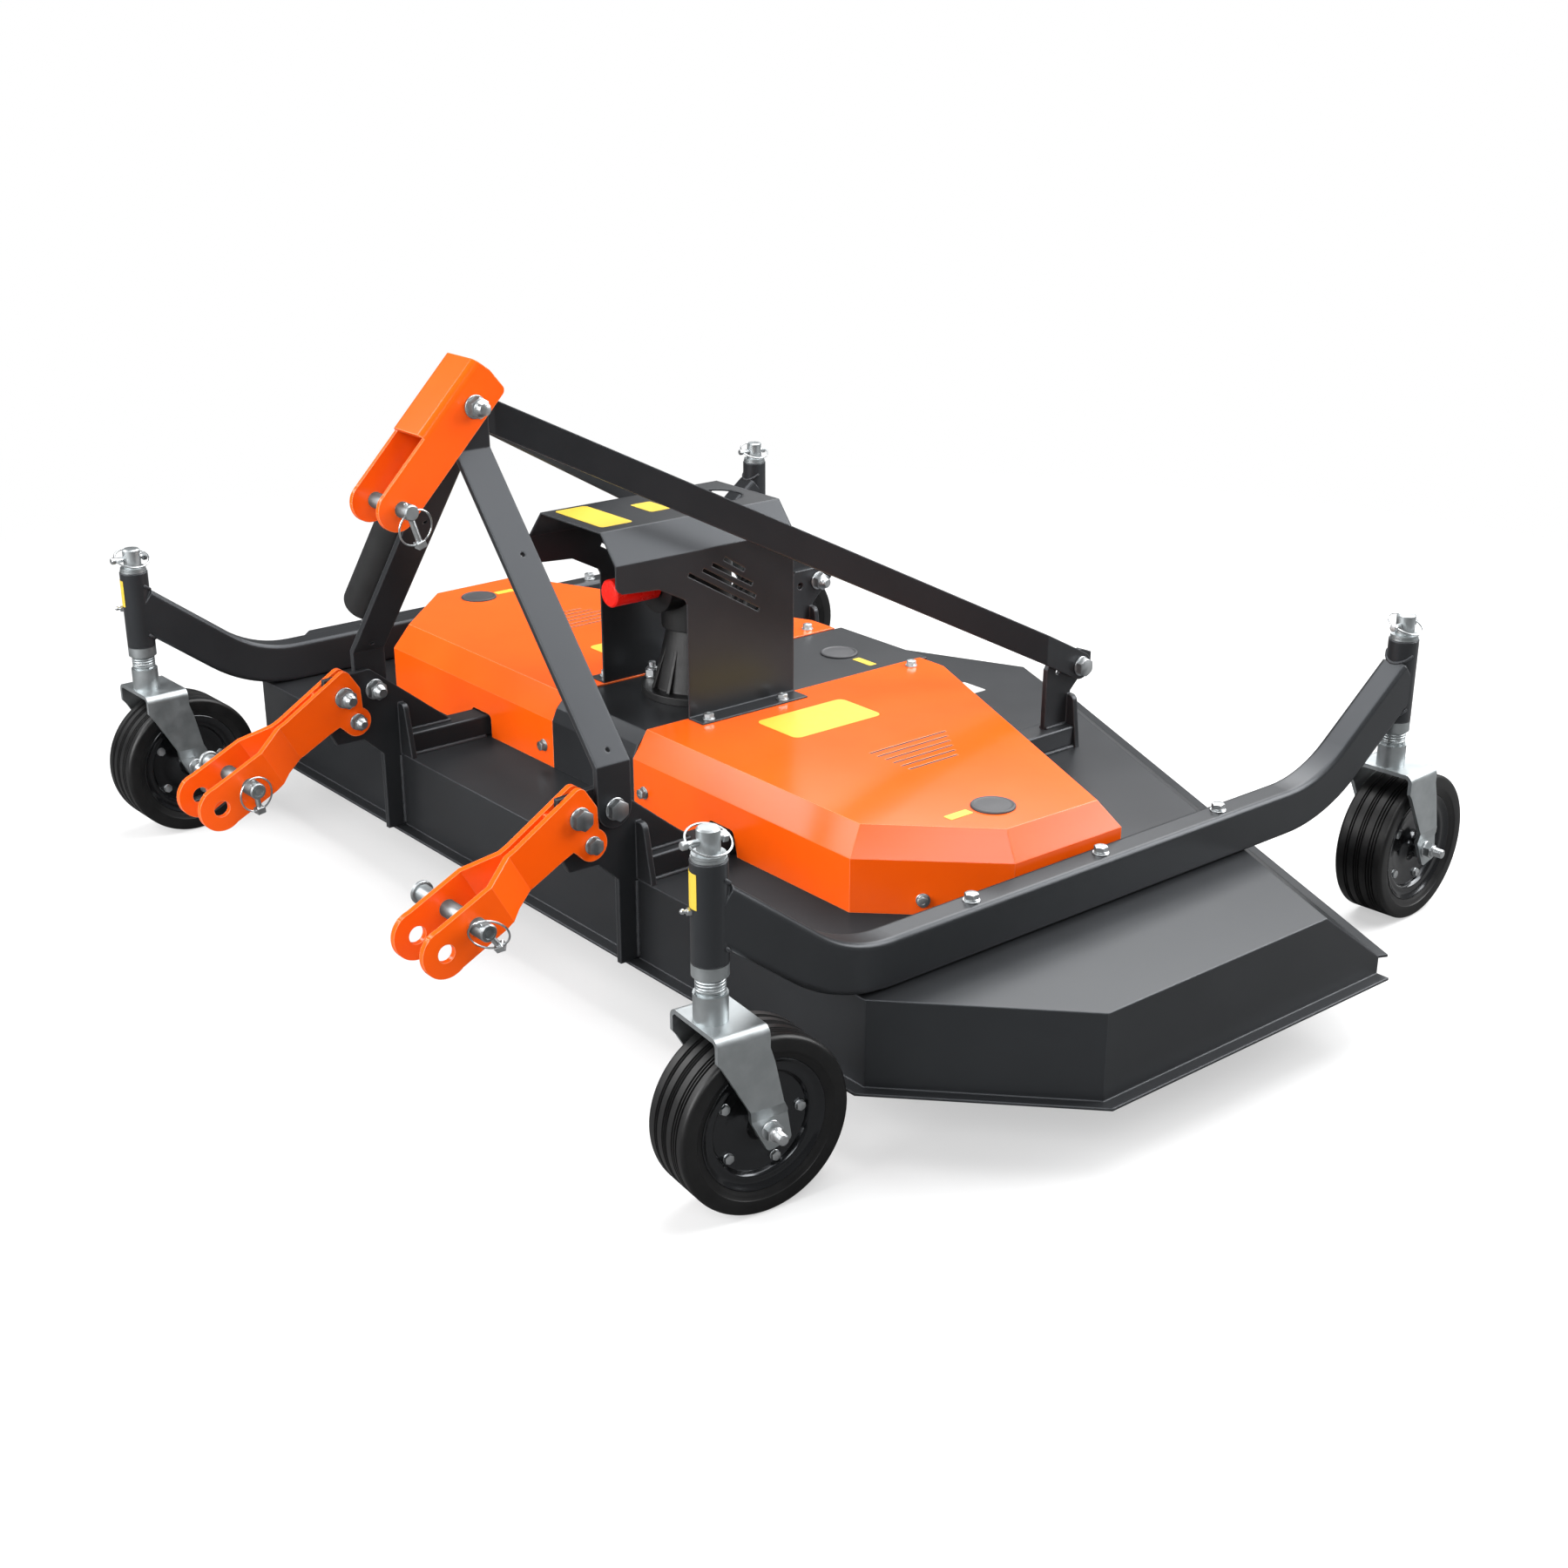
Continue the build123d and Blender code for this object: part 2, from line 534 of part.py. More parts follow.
def mast_leg_left():
    (fy, fz), (ty, tz) = MAST_FOOT, MAST_TOP
    h, wide = LEG_WIDE / 2, RAIL_X + CROSS
    path = [(RAIL_X + PLATE, fz - LEG_WIDE), (RAIL_X + PLATE, LEG_BEND_LOW), (LEG_TOP_X, LEG_BEND_HIGH),
            (LEG_TOP_X, tz + LEG_WIDE)]
    foot, along = leg_slope()
    with BuildPart() as profile:
        add(side_plate([(fy - h, fz), (fy + h, fz), (ty + h, tz), (ty - h, tz)], 0, wide))
        add(rod_x(fy, fz, 0, wide, h))
        add(rod_x(ty, tz, 0, wide, h))
    with BuildPart() as p:
        add(front_plate(strip(path, PLATE), fy - 2 * h, fy + 2 * h))
        add(profile.part, mode=Mode.INTERSECT)
        add(rod_x(fy, fz, RAIL_X - CROSS, wide, BIG_BOLT_R), mode=Mode.SUBTRACT)
        add(rod_x(ty, tz, 0, CROSS, TOP_BOLT_R), mode=Mode.SUBTRACT)
        for reach in LEG_HOLES:
            at = foot + along * reach + Vector(0, fy, 0)
            with Locations(Plane(at, x_dir=(0, 1, 0), z_dir=(-along.Z, 0, along.X))):
                Cylinder(LEG_HOLE_R, 2 * PLATE, mode=Mode.SUBTRACT)
    return p.part


def stay_left():
    """Flat bar from the mast bolt back to the rear bracket, ends bent parallel to the rail."""
    (ty, tz), (ry, rz) = MAST_TOP, STAY_REAR
    rear_x, wide, h = RAIL_X + PLATE, RAIL_X + CROSS, STAY_WIDE / 2
    path = [(STAY_TOP_X, ty - 60), (STAY_TOP_X, ty + 50), (rear_x, ry - 88), (rear_x, ry + 60)]
    tilt = atan2(rz - tz, ry - ty)
    ny, nz = -sin(tilt) * h, cos(tilt) * h
    with BuildPart() as profile:
        add(side_plate([(ty + ny, tz + nz), (ty - ny, tz - nz), (ry - ny, rz - nz), (ry + ny, rz + nz)], 0, wide))
        add(rod_x(ty, tz, 0, wide, h))
        add(rod_x(ry, rz, 0, wide, h))
    with BuildPart() as p:
        add(prism(strip(path, PLATE), rz - STAY_WIDE, tz + STAY_WIDE))
        add(profile.part, mode=Mode.INTERSECT)
        add(rod_x(ty, tz, 0, CROSS, TOP_BOLT_R), mode=Mode.SUBTRACT)
        add(rod_x(ry, rz, RAIL_X - CROSS, wide, BIG_BOLT_R), mode=Mode.SUBTRACT)
    return p.part


def rear_bracket_left():
    rail_top, (ry, rz), behind = DECK_TOP + RAIL_HIGH, STAY_REAR, RAIL_REAR + 0.8 * GUSSET_THICK
    outline = [(RAIL_REAR - 56, rail_top), (RAIL_REAR, rail_top), (RAIL_REAR, DECK_TOP),
               (behind, DECK_TOP), (behind, rz - 46), (ry + 36, rz + 2), (ry + 36, rz + 18),
               (ry + 10, rz + 28), (ry - 60, rz + 28), (RAIL_REAR - 55, rz + 4)]
    with BuildPart() as p:
        add(side_plate(outline, RAIL_X - PLATE / 2, RAIL_X + PLATE / 2))
        add(gusset(RAIL_REAR, RAIL_REAR + GUSSET_THICK, 32, 20))
        for (y, z), radius in ((STAY_REAR, BIG_BOLT_R), (SPARE_HOLE, SPARE_HOLE_R)):
            add(rod_x(y, z, RAIL_X - CROSS, RAIL_X + CROSS, radius), mode=Mode.SUBTRACT)
    return p.part


def frame_bolts_left():
    """Heads outwards, nuts towards the middle."""
    clevis_half, single = 1.5 * PLATE, RAIL_X - PLATE / 2
    with BuildPart() as p:
        add(bolt_x(*CLEVIS_BIG, RAIL_X - clevis_half, RAIL_X + clevis_half, BIG_BOLT_R, BIG_BOLT_ACROSS))
        add(bolt_x(*CLEVIS_SMALL, RAIL_X - clevis_half, RAIL_X + clevis_half, SMALL_BOLT_R, SMALL_BOLT_ACROSS))
        add(bolt_x(*MAST_FOOT, single, RAIL_X + clevis_half, BIG_BOLT_R, BIG_BOLT_ACROSS))
        add(bolt_x(*STAY_REAR, single, RAIL_X + clevis_half, BIG_BOLT_R, BIG_BOLT_ACROSS))
    return p.part


def side_tube_left():
    """Rectangular tube bent up at both ends, with the caster sleeves welded on."""
    ends = (CASTER_FRONT, CASTER_REAR)
    with BuildLine() as path:
        Polyline((CASTER_X, CASTER_FRONT, TUBE_LOW + TUBE_RISE), (CASTER_X, CASTER_FRONT + TUBE_KNEE, TUBE_LOW),
                 (CASTER_X, CASTER_REAR - TUBE_KNEE, TUBE_LOW), (CASTER_X, CASTER_REAR, TUBE_LOW + TUBE_RISE))
        fillet(path.vertices().sort_by(Axis.Y)[1:3], TUBE_BEND)
    start = Plane(origin=path.wire() @ 0, x_dir=(1, 0, 0), z_dir=path.wire() % 0)
    with BuildPart() as p:
        with BuildSketch(start):
            RectangleRounded(TUBE_WIDE, TUBE_HIGH, TUBE_CORNER)
        sweep(path=path.wire())
        for y, away in zip(ends, (-1, 1)):
            with Locations((CASTER_X, y + away * TUBE_HIGH, TUBE_LOW + TUBE_RISE)):
                Box(2 * TUBE_WIDE, 2 * TUBE_HIGH, 4 * TUBE_HIGH, mode=Mode.SUBTRACT)
        with Locations(*[(CASTER_X, y, SLEEVE_LOW) for y in ends]):
            Cylinder(SLEEVE_R, SLEEVE_LONG, align=BOTTOM)
        with Locations(*[(CASTER_X, y, SLEEVE_LOW) for y in ends]):
            Cylinder(PIN_R + RUNNING_GAP, SLEEVE_LONG, align=BOTTOM, mode=Mode.SUBTRACT)
    return p.part


# casters, drawn at the origin: pin axis on z, wheel trailing towards +Y
def upright(radius, low, high):
    with BuildPart() as p:
        with Locations((0, 0, low)):
            Cylinder(radius, high - low, align=BOTTOM)
    return p.part


def fork():
    """Bent flat fork with its welded boss, swivel pin, spacers and collar."""
    h, a, t, axle = FORK_HALF, FORK_AXLE_HALF, FORK_PLATE, WHEEL_R
    half = [(h - t / 2, FORK_TOP - t / 2), (h - t / 2, axle + 40), (a - t / 2, axle + 20), (a - t / 2, axle - 45)]
    path = [(-x, z) for x, z in half[::-1]] + half
    with BuildPart() as bent:
        add(front_plate(strip(path, t), -TRAIL, 3 * TRAIL))
        outer = bent.edges().filter_by(Axis.Y).filter_by(lambda e: e.center().Z > FORK_TOP - 1)
        fillet(outer, 2 * t)
        inner = bent.edges().filter_by(Axis.Y).filter_by(
            lambda e: abs(e.center().Z - FORK_TOP + t) < 0.5 and abs(abs(e.center().X) - h + t) < 0.5)
        fillet(inner, t)
    top = FORK_TOP + 1
    outline = [(-27, top), (-27, top - 35), (-20, top - 44), (TRAIL - 35, axle + 39), (TRAIL - 29, axle + 17),
               (TRAIL - 4, axle - 32), (TRAIL + 34, axle - 24), (TRAIL + 26, axle + 26), (TRAIL + 17, axle + 42),
               (TRAIL + 3, FORK_TOP - 53), (TRAIL - 4, FORK_TOP - 31), (TRAIL - 4, top)]
    with BuildPart() as p:
        add(bent.part)
        add(side_plate(outline, -CROSS - t, CROSS + t), mode=Mode.INTERSECT)
        lower = p.edges().filter_by(Axis.X).filter_by(lambda e: e.center().Z < axle)
        fillet(lower, 8)
        add(rod_x(TRAIL, axle, -CROSS - t, CROSS + t, AXLE_R), mode=Mode.SUBTRACT)
        boss_top = FORK_TOP + BOSS_HIGH
        add(upright(BOSS_R, FORK_TOP, boss_top))
        add(upright(PIN_R, FORK_TOP, PIN_TOP))
        pitch = SPACER_HIGH / SPACER_COUNT
        for i in range(SPACER_COUNT):
            add(upright(SPACER_R, boss_top + i * pitch, boss_top + (i + 0.7) * pitch))
        add(upright(SPACER_R - 1.3, boss_top, boss_top + SPACER_HIGH))
        add(upright(SLEEVE_R, boss_top + SPACER_HIGH, SLEEVE_LOW - END_PLAY))
        washer = SLEEVE_HIGH + END_PLAY
        add(upright(BOSS_R, washer, washer + WASHER_HIGH))
        add(upright(PIN_R + 1, washer + WASHER_HIGH, washer + WASHER_HIGH + END_PLAY))
        add(upright(BOSS_R - 1, washer + WASHER_HIGH + END_PLAY, washer + 2 * WASHER_HIGH + END_PLAY))
        chamfer(p.edges().filter_by(GeomType.CIRCLE).group_by(Axis.Z)[-1], 2.5)
        with Locations((0, 0, (SLEEVE_HIGH + PIN_TOP) / 2 + WASHER_HIGH)):
            Cylinder(LINCH_R, 5 * PIN_R, rotation=(90, 0, -30), mode=Mode.SUBTRACT)
    return p.part


def axle_bolt():
    y, z = TRAIL, WHEEL_R
    with BuildPart() as p:
        add(bolt_x(y, z, -FORK_AXLE_HALF, FORK_AXLE_HALF, AXLE_R, AXLE_ACROSS).mirror(Plane.YZ))
        # threaded end past the nut, and its washer
        add(rod_x(y, z, FORK_AXLE_HALF, FORK_AXLE_HALF + 4.2 * AXLE_R, AXLE_R))
        add(rod_x(y, z, FORK_AXLE_HALF, FORK_AXLE_HALF + 2.5, 15))
    return p.part


def turned(profile, y, z):
    """Ring turned about the axle from its half: points are (x across, radius), widest first."""
    with BuildPart() as p:
        with BuildSketch(Plane.XY):
            with BuildLine():
                Polyline(*profile, *[(-x, r) for x, r in profile[::-1] if x > 0], close=True)
            make_face()
        revolve(axis=Axis.X)
    return p.part.moved(Location((0, y, z)))


def rim():
    """Two pressed halves bolted together on a hub."""
    d, ring = DISC_HALF, DISC_RING_R
    half = [(0, AXLE_R + RUNNING_GAP), (HUB_HALF, AXLE_R + RUNNING_GAP), (HUB_HALF, HUB_R), (d + 5, HUB_R + 3),
            (d, HUB_R + 10), (d, ring), (d + 3, ring + 6), (d + 8, ring + 11), (d + 12, ring + 19),
            (d + 15, RIM_R), (d + 11, RIM_R), (d + 5, RIM_R - 1), (0, RIM_R - 1)]
    with BuildPart() as p:
        add(turned(half, TRAIL, WHEEL_R))
        for i in range(RIM_BOLT_COUNT):
            turn = radians(148 - i * 360 / RIM_BOLT_COUNT)
            y, z = TRAIL + RIM_BOLT_CIRCLE * cos(turn), WHEEL_R + RIM_BOLT_CIRCLE * sin(turn)
            add(hex_x(y, z, d, d + RIM_BOLT_HIGH, RIM_BOLT_ACROSS))
            add(hex_x(y, z, -d - RIM_BOLT_HIGH, -d, RIM_BOLT_ACROSS))
    return p.part


def tyre():
    w, r, soft = TYRE_WIDE / 2, WHEEL_R, SHOULDER_R
    bend = [(w - soft * (1 - cos(radians(a))), r - soft * (1 - sin(radians(a)))) for a in (0, 30, 60, 90)]
    return turned([(w - 7, RIM_R), (w, RIM_R + 7)] + bend, TRAIL, WHEEL_R)


# covers
def belt_cover_left():
    def body(gap, low):
        inner = 0 if gap == 0 else -20
        gaps = [gap, gap, gap, gap, gap, inner]
        top, foot = inset(COVER_TOP_PLAN, gaps), inset(COVER_FOOT_PLAN, gaps)
        with BuildPart() as p:
            with BuildSketch(Plane.XY.offset(low)):
                with BuildLine():
                    Polyline(*foot, close=True)
                make_face()
            extrude(amount=COVER_BREAK - gap * 0.5 - low)
            with BuildSketch(Plane.XY.offset(COVER_BREAK - gap * 0.5)):
                with BuildLine():
                    Polyline(*foot, close=True)
                make_face()
            with BuildSketch(Plane.XY.offset(COVER_TOP - gap)):
                with BuildLine():
                    Polyline(*top, close=True)
                make_face()
            loft(ruled=True)
        return p.part
    foot_low, foot_high = (RAIL_X + x for x in NOTCH_FOOT)
    top_low, top_high = (RAIL_X + x for x in NOTCH_TOP)
    notch = [(foot_low, DECK_TOP - COVER_SHEET), (foot_high, DECK_TOP - COVER_SHEET),
             (top_high, DECK_TOP + NOTCH_HIGH), (top_low, DECK_TOP + NOTCH_HIGH)]
    with BuildPart() as p:
        add(body(0, DECK_TOP))
        add(body(COVER_SHEET, DECK_TOP - COVER_SHEET), mode=Mode.SUBTRACT)
        # notches over the top rail, front and rear
        for y_low, y_high in ((COVER_FRONT - NOTCH_REACH / 2, COVER_FRONT + NOTCH_REACH),
                              (CENTRE_Y - NOTCH_REACH / 2, CENTRE_Y + 1.5 * NOTCH_REACH)):
            with BuildPart() as cutter:
                add(front_plate(notch, y_low, y_high))
                fillet(cutter.edges().filter_by(Axis.Y).group_by(Axis.Z)[-1], 10)
            add(cutter.part, mode=Mode.SUBTRACT)
        # vent slots through the top, each shorter than the one before
        with BuildSketch(Plane.XY.offset(COVER_TOP - 2 * COVER_SHEET)):
            for i in range(VENT_COUNT):
                long = VENT_LONG - i * VENT_SHORTER
                with Locations((VENT_AT[0] + i * VENT_STEP, VENT_AT[1] + long / 2)):
                    Rectangle(VENT_WIDE, long)
        extrude(amount=4 * COVER_SHEET, mode=Mode.SUBTRACT)
    return p.part


with BuildPart() as centre_cover:
    base = COVER_TOP - COVER_SHEET
    profile = [(CENTRE_FRONT, DECK_TOP), (CENTRE_FRONT, COVER_BREAK), (CENTRE_FRONT + 10, COVER_BREAK + 22),
               (CENTRE_FRONT + 30, base), (CENTRE_REAR, base), (CENTRE_REAR, DECK_TOP)]
    add(side_plate(profile, -CENTRE_HALF, CENTRE_HALF))
    hollow = inset(profile, [COVER_SHEET] * 5 + [-COVER_SHEET])
    add(side_plate(hollow, -CENTRE_HALF - 1, CENTRE_HALF + 1), mode=Mode.SUBTRACT)

# gearbox guard: folded sheet with a canopy over the input shaft
with BuildPart() as gearbox_guard:
    g, t = GUARD_HALF, GUARD_SHEET
    half = [(GUARD_TOP_HALF, GUARD_TOP - t / 2), (g - t / 2, GUARD_SHOULDER), (g - t / 2, COVER_TOP + t / 2),
            (g + GUARD_FLANGE, COVER_TOP + t / 2)]
    add(front_plate(strip([(-x, z) for x, z in half[::-1]] + half, t), GUARD_FRONT, GUARD_REAR))
    # canopy: its foot slopes back and down from the front edge to the front of the legs
    side_view = [(GUARD_FOOT_FRONT, COVER_TOP), (GUARD_REAR, COVER_TOP), (GUARD_REAR, GUARD_TOP),
                 (GUARD_FRONT, GUARD_TOP), (GUARD_FRONT, INPUT_Z + 50), (GUARD_FRONT + 5, INPUT_Z + 42),
                 (GUARD_FRONT + 12, INPUT_Z + 38), (GUARD_FRONT + 85, INPUT_Z + 33),
                 (GUARD_FOOT_FRONT - 4, INPUT_Z + 5), (GUARD_FOOT_FRONT, INPUT_Z - 3)]
    wide = GUARD_HALF + GUARD_FLANGE
    add(side_plate(side_view, -wide, wide), mode=Mode.INTERSECT)
    with Locations((0, GUARD_HOLE_Y, GUARD_TOP)):
        Cylinder(GUARD_HOLE_R, GUARD_SHEET * 4, mode=Mode.SUBTRACT)
    for (y0, z0), (y1, z1) in LOUVRES:
        with BuildSketch(Plane.YZ.offset(-wide)):
            middle = (GEAR_Y + (y0 + y1) / 2, INPUT_Z + (z0 + z1) / 2)
            with Locations(Location(middle, degrees(atan2(z1 - z0, y1 - y0)))):
                Rectangle(hypot(y1 - y0, z1 - z0), LOUVRE_WIDE)
        extrude(amount=2 * wide, mode=Mode.SUBTRACT)

# gearbox: flanged casting with a plain input hub
with BuildPart() as gearbox:
    with Locations((0, GEAR_Y, base)):
        Cylinder(GEAR_FLANGE_R, GEAR_FLANGE_HIGH, align=BOTTOM)
    with BuildSketch(Plane.XY.offset(base + GEAR_FLANGE_HIGH - END_PLAY)):
        with Locations((0, GEAR_Y)):
            Circle(GEAR_SKIRT_R)
    with BuildSketch(Plane.XY.offset(GEAR_NECK_Z)):
        with Locations((0, GEAR_Y)):
            Circle(GEAR_NECK_R)
    loft()
    with Locations((0, GEAR_Y, GEAR_NECK_Z)):
        Cylinder(GEAR_CASE_R, GEAR_CASE_HIGH, align=BOTTOM)
    with Locations(Plane((0, INPUT_FACE, INPUT_Z), z_dir=(0, 1, 0))):
        Cylinder(INPUT_HUB_R, GEAR_Y - INPUT_FACE + 40, align=BOTTOM)
        Cylinder(INPUT_SHAFT_R + RUNNING_GAP, 40, align=BOTTOM, mode=Mode.SUBTRACT)

with BuildPart() as input_shaft:
    with Locations(Plane((0, INPUT_TIP + CAP_END, INPUT_Z), z_dir=(0, 1, 0))):
        Cylinder(INPUT_SHAFT_R, INPUT_FACE + 38 - INPUT_TIP - CAP_END, align=BOTTOM)

with BuildPart() as shaft_cap:
    with Locations(Plane((0, INPUT_TIP, INPUT_Z), z_dir=(0, 1, 0))):
        Cylinder(CAP_R, INPUT_FACE - CAP_SHORT - INPUT_TIP, align=BOTTOM)
    with Locations(Plane((0, INPUT_TIP + CAP_END, INPUT_Z), z_dir=(0, 1, 0))):
        Cylinder(INPUT_SHAFT_R, INPUT_FACE - INPUT_TIP, align=BOTTOM, mode=Mode.SUBTRACT)
    chamfer(shaft_cap.edges().filter_by(GeomType.CIRCLE).group_by(Axis.Y)[0], 3)

# top link clevis about the mast bolt: (u, n) run down along the line to its pin and up across it
down = radians(TOP_DOWN)
pin_y = MAST_TOP[0] - TOP_PIN_AT * cos(down)
pin_z = MAST_TOP[1] - TOP_PIN_AT * sin(down)
with BuildPart() as top_clevis:
    line = Plane((-TOP_HALF, *MAST_TOP), x_dir=(0, -cos(down), -sin(down)), z_dir=(1, 0, 0))
    step, end = TOP_FACE - TOP_SHEET, TOP_PIN_AT + TOP_EAR_AHEAD
    ear = [(1 - TOP_TAIL, TOP_FACE), (-TOP_TAIL - 3, 15), (2 - TOP_TAIL, -TOP_BACK), (end, -TOP_BACK),
           (end + 23, TOP_EAR_AHEAD + 23), (end - 6, step), (TOP_WEB_END, step), (TOP_WEB_END, TOP_FACE)]
    with BuildSketch(line):
        with BuildLine():
            Polyline(*[(u, -n) for u, n in ear], close=True)
        make_face()
        with Locations((end, 1 - TOP_EAR_AHEAD)):
            Circle(TOP_EAR_R)
    extrude(amount=2 * TOP_HALF)
    across = top_clevis.edges().filter_by(Axis.X)
    tail = across.filter_by(lambda e: e.center().Y > MAST_TOP[0] + 10).sort_by(Axis.Z)
    fillet(tail[0:2], 10)
    web_edges = top_clevis.edges().filter_by(GeomType.LINE).filter_by(
        lambda e: abs(abs(e.center().X) - TOP_HALF) < 0.1 and abs(e.length - TOP_WEB_END - TOP_TAIL) < 3)
    fillet(web_edges, 12)
    inner = Plane((TOP_SHEET - TOP_HALF, *MAST_TOP), x_dir=(0, -cos(down), -sin(down)), z_dir=(1, 0, 0))
    with BuildSketch(inner):
        with Locations((0, -step)):
            Rectangle(4 * TOP_PIN_AT, 4 * TOP_FACE, align=(Align.CENTER, Align.MIN))
    extrude(amount=2 * (TOP_HALF - TOP_SHEET), mode=Mode.SUBTRACT)
    add(rod_x(*MAST_TOP, -CROSS, CROSS, TOP_BOLT_R + RUNNING_GAP), mode=Mode.SUBTRACT)
    add(rod_x(pin_y, pin_z, -CROSS, CROSS, TOP_PIN_R + RUNNING_GAP), mode=Mode.SUBTRACT)

with BuildPart() as top_link_pin:
    head = -TOP_HALF - TOP_PIN_PLAY - TOP_PIN_HEAD
    add(rod_x(pin_y, pin_z, head, TOP_HALF + TOP_PIN_LONG, TOP_PIN_R))
    add(rod_x(pin_y, pin_z, head, head + TOP_PIN_HEAD, TOP_PIN_R + 5))
    with Locations((TOP_HALF + TOP_PIN_LONG - LINCH_AT, pin_y, pin_z)):
        Cylinder(LINCH_R, 4 * TOP_PIN_R, rotation=(LINCH_TURN, 0, 0), mode=Mode.SUBTRACT)

with BuildPart() as mast_bolt:
    add(bolt_x(*MAST_TOP, -TOP_HALF - TOP_PIN_PLAY, TOP_HALF + MAST_WASHER, TOP_BOLT_R, BIG_BOLT_ACROSS))
    add(rod_x(*MAST_TOP, TOP_HALF + END_PLAY, TOP_HALF + MAST_WASHER, MAST_WASHER_R))

# manual holder on the right mast leg
with BuildPart() as manual_holder:
    leg_foot, up_leg = leg_slope()
    along = Vector(-up_leg.X, 0, up_leg.Z)
    out = Vector(-up_leg.Z, 0, -up_leg.X)
    base_point = Vector(-leg_foot.X, MAST_FOOT[0] - 8, leg_foot.Z) + along * MANUAL_START
    with BuildSketch(Plane(base_point + out * (PLATE / 2 + MANUAL_R), x_dir=(0, 1, 0), z_dir=along)):
        Circle(MANUAL_R)
    extrude(amount=MANUAL_LONG)
    fillet(manual_holder.edges().filter_by(GeomType.CIRCLE), 10)

PARTS = {
    "deck_shell": deck_shell.part,
    "centre_cover": centre_cover.part,
    "gearbox_guard": gearbox_guard.part,
    "gearbox": gearbox.part,
    "input_shaft": input_shaft.part,
    "shaft_cap": shaft_cap.part,
    "top_clevis": top_clevis.part,
    "top_link_pin": top_link_pin.part,
    "mast_bolt": mast_bolt.part,
    "manual_holder": manual_holder.part,
    "spindle_housings": spindle_housings.part,
}
for name, builder in blade_parts.items():
    PARTS[f"blade_rotor_{name}"] = builder.part

left_parts = {
    "top_rail": rail_left(),
    "hitch_bracket": hitch_bracket_left(),
    "lower_clevis": lower_clevis_left(),
    "mast_leg": mast_leg_left(),
    "stay_bar": stay_left(),
    "rear_bracket": rear_bracket_left(),
    "side_tube": side_tube_left(),
    "frame_bolts": frame_bolts_left(),
    "belt_cover": belt_cover_left(),
}
for name, solid in left_parts.items():
    PARTS[f"{name}_left"] = solid
    PARTS[f"{name}_right"] = mirror_part(solid)
for name, side in SIDES:
    PARTS[f"hitch_pin_{name}"] = hitch_pin_at(side * RAIL_X)

fork_part, axle_part, rim_part, tyre_part = fork(), axle_bolt(), rim(), tyre()
for name, x, y, turn in CASTERS:
    place = Location((x, y, 0), (0, 0, turn))
    for label, solid in (("caster_fork", fork_part), ("caster_axle", axle_part), ("wheel_rim", rim_part),
                         ("wheel_tyre", tyre_part)):
        PARTS[f"{label}_{name}"] = solid.moved(place)

for name, solid in PARTS.items():
    solid.label = name
    export_step(solid, f"parts/{name}.step")
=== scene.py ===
"""Finishing mower for a tractor's hitch, dressed for the studio.

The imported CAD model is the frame. This script gives its plates, covers and tubes their finishes and
adds tyres, rims, fasteners, linchpins, springs, weld beads, caps, cast webs and blank plates.
Metres, floor at z = 0.
"""
import json
import math

import bmesh
import bpy
from mathutils import Matrix, Vector


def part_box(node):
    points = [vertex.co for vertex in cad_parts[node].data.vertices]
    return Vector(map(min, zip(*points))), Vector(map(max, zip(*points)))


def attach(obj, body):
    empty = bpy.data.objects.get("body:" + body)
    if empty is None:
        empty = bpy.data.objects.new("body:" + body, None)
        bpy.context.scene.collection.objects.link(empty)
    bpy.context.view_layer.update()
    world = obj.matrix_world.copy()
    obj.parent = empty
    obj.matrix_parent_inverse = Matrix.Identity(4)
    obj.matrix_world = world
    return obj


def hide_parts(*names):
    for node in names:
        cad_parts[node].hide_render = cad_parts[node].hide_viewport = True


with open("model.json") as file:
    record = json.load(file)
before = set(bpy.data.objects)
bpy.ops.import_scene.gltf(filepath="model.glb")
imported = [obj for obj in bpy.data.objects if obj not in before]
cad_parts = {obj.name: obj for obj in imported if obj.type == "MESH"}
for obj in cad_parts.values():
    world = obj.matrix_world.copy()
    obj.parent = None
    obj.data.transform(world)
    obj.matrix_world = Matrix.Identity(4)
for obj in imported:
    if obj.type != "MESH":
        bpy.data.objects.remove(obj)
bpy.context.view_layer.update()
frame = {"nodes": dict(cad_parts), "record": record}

nodes = frame["nodes"]
scene = bpy.context.scene
X, Y, Z = Vector((1, 0, 0)), Vector((0, 1, 0)), Vector((0, 0, 1))
SIDES = (("left", 1), ("right", -1))
CASTERS = ("front_left", "front_right", "rear_left", "rear_right")

# places read from the frame
joints = {joint["name"]: joint for joint in frame["record"]["behaviour"]["joints"]}
RAIL_X = sum(corner.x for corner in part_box("top_rail_left")) / 2
DECK_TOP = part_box("top_rail_left")[0].z
RAIL_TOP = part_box("top_rail_left")[1].z
DECK_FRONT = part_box("hitch_bracket_left")[0].y + 0.1435
COVER_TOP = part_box("belt_cover_left")[1].z
COVER_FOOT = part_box("belt_cover_left")[0].y
GUARD_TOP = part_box("gearbox_guard")[1].z
SLEEVE_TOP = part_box("side_tube_left")[1].z
SLEEVE_HIGH = 0.144
SLEEVE_R = 0.0255
MAST_TOP = Vector((0, *joints["top_link_swing"]["pos_m"][1:]))
GEARBOX_FLANGE = Vector((0, -0.1065, COVER_TOP + 0.011))     # middle of the top of its foot flange

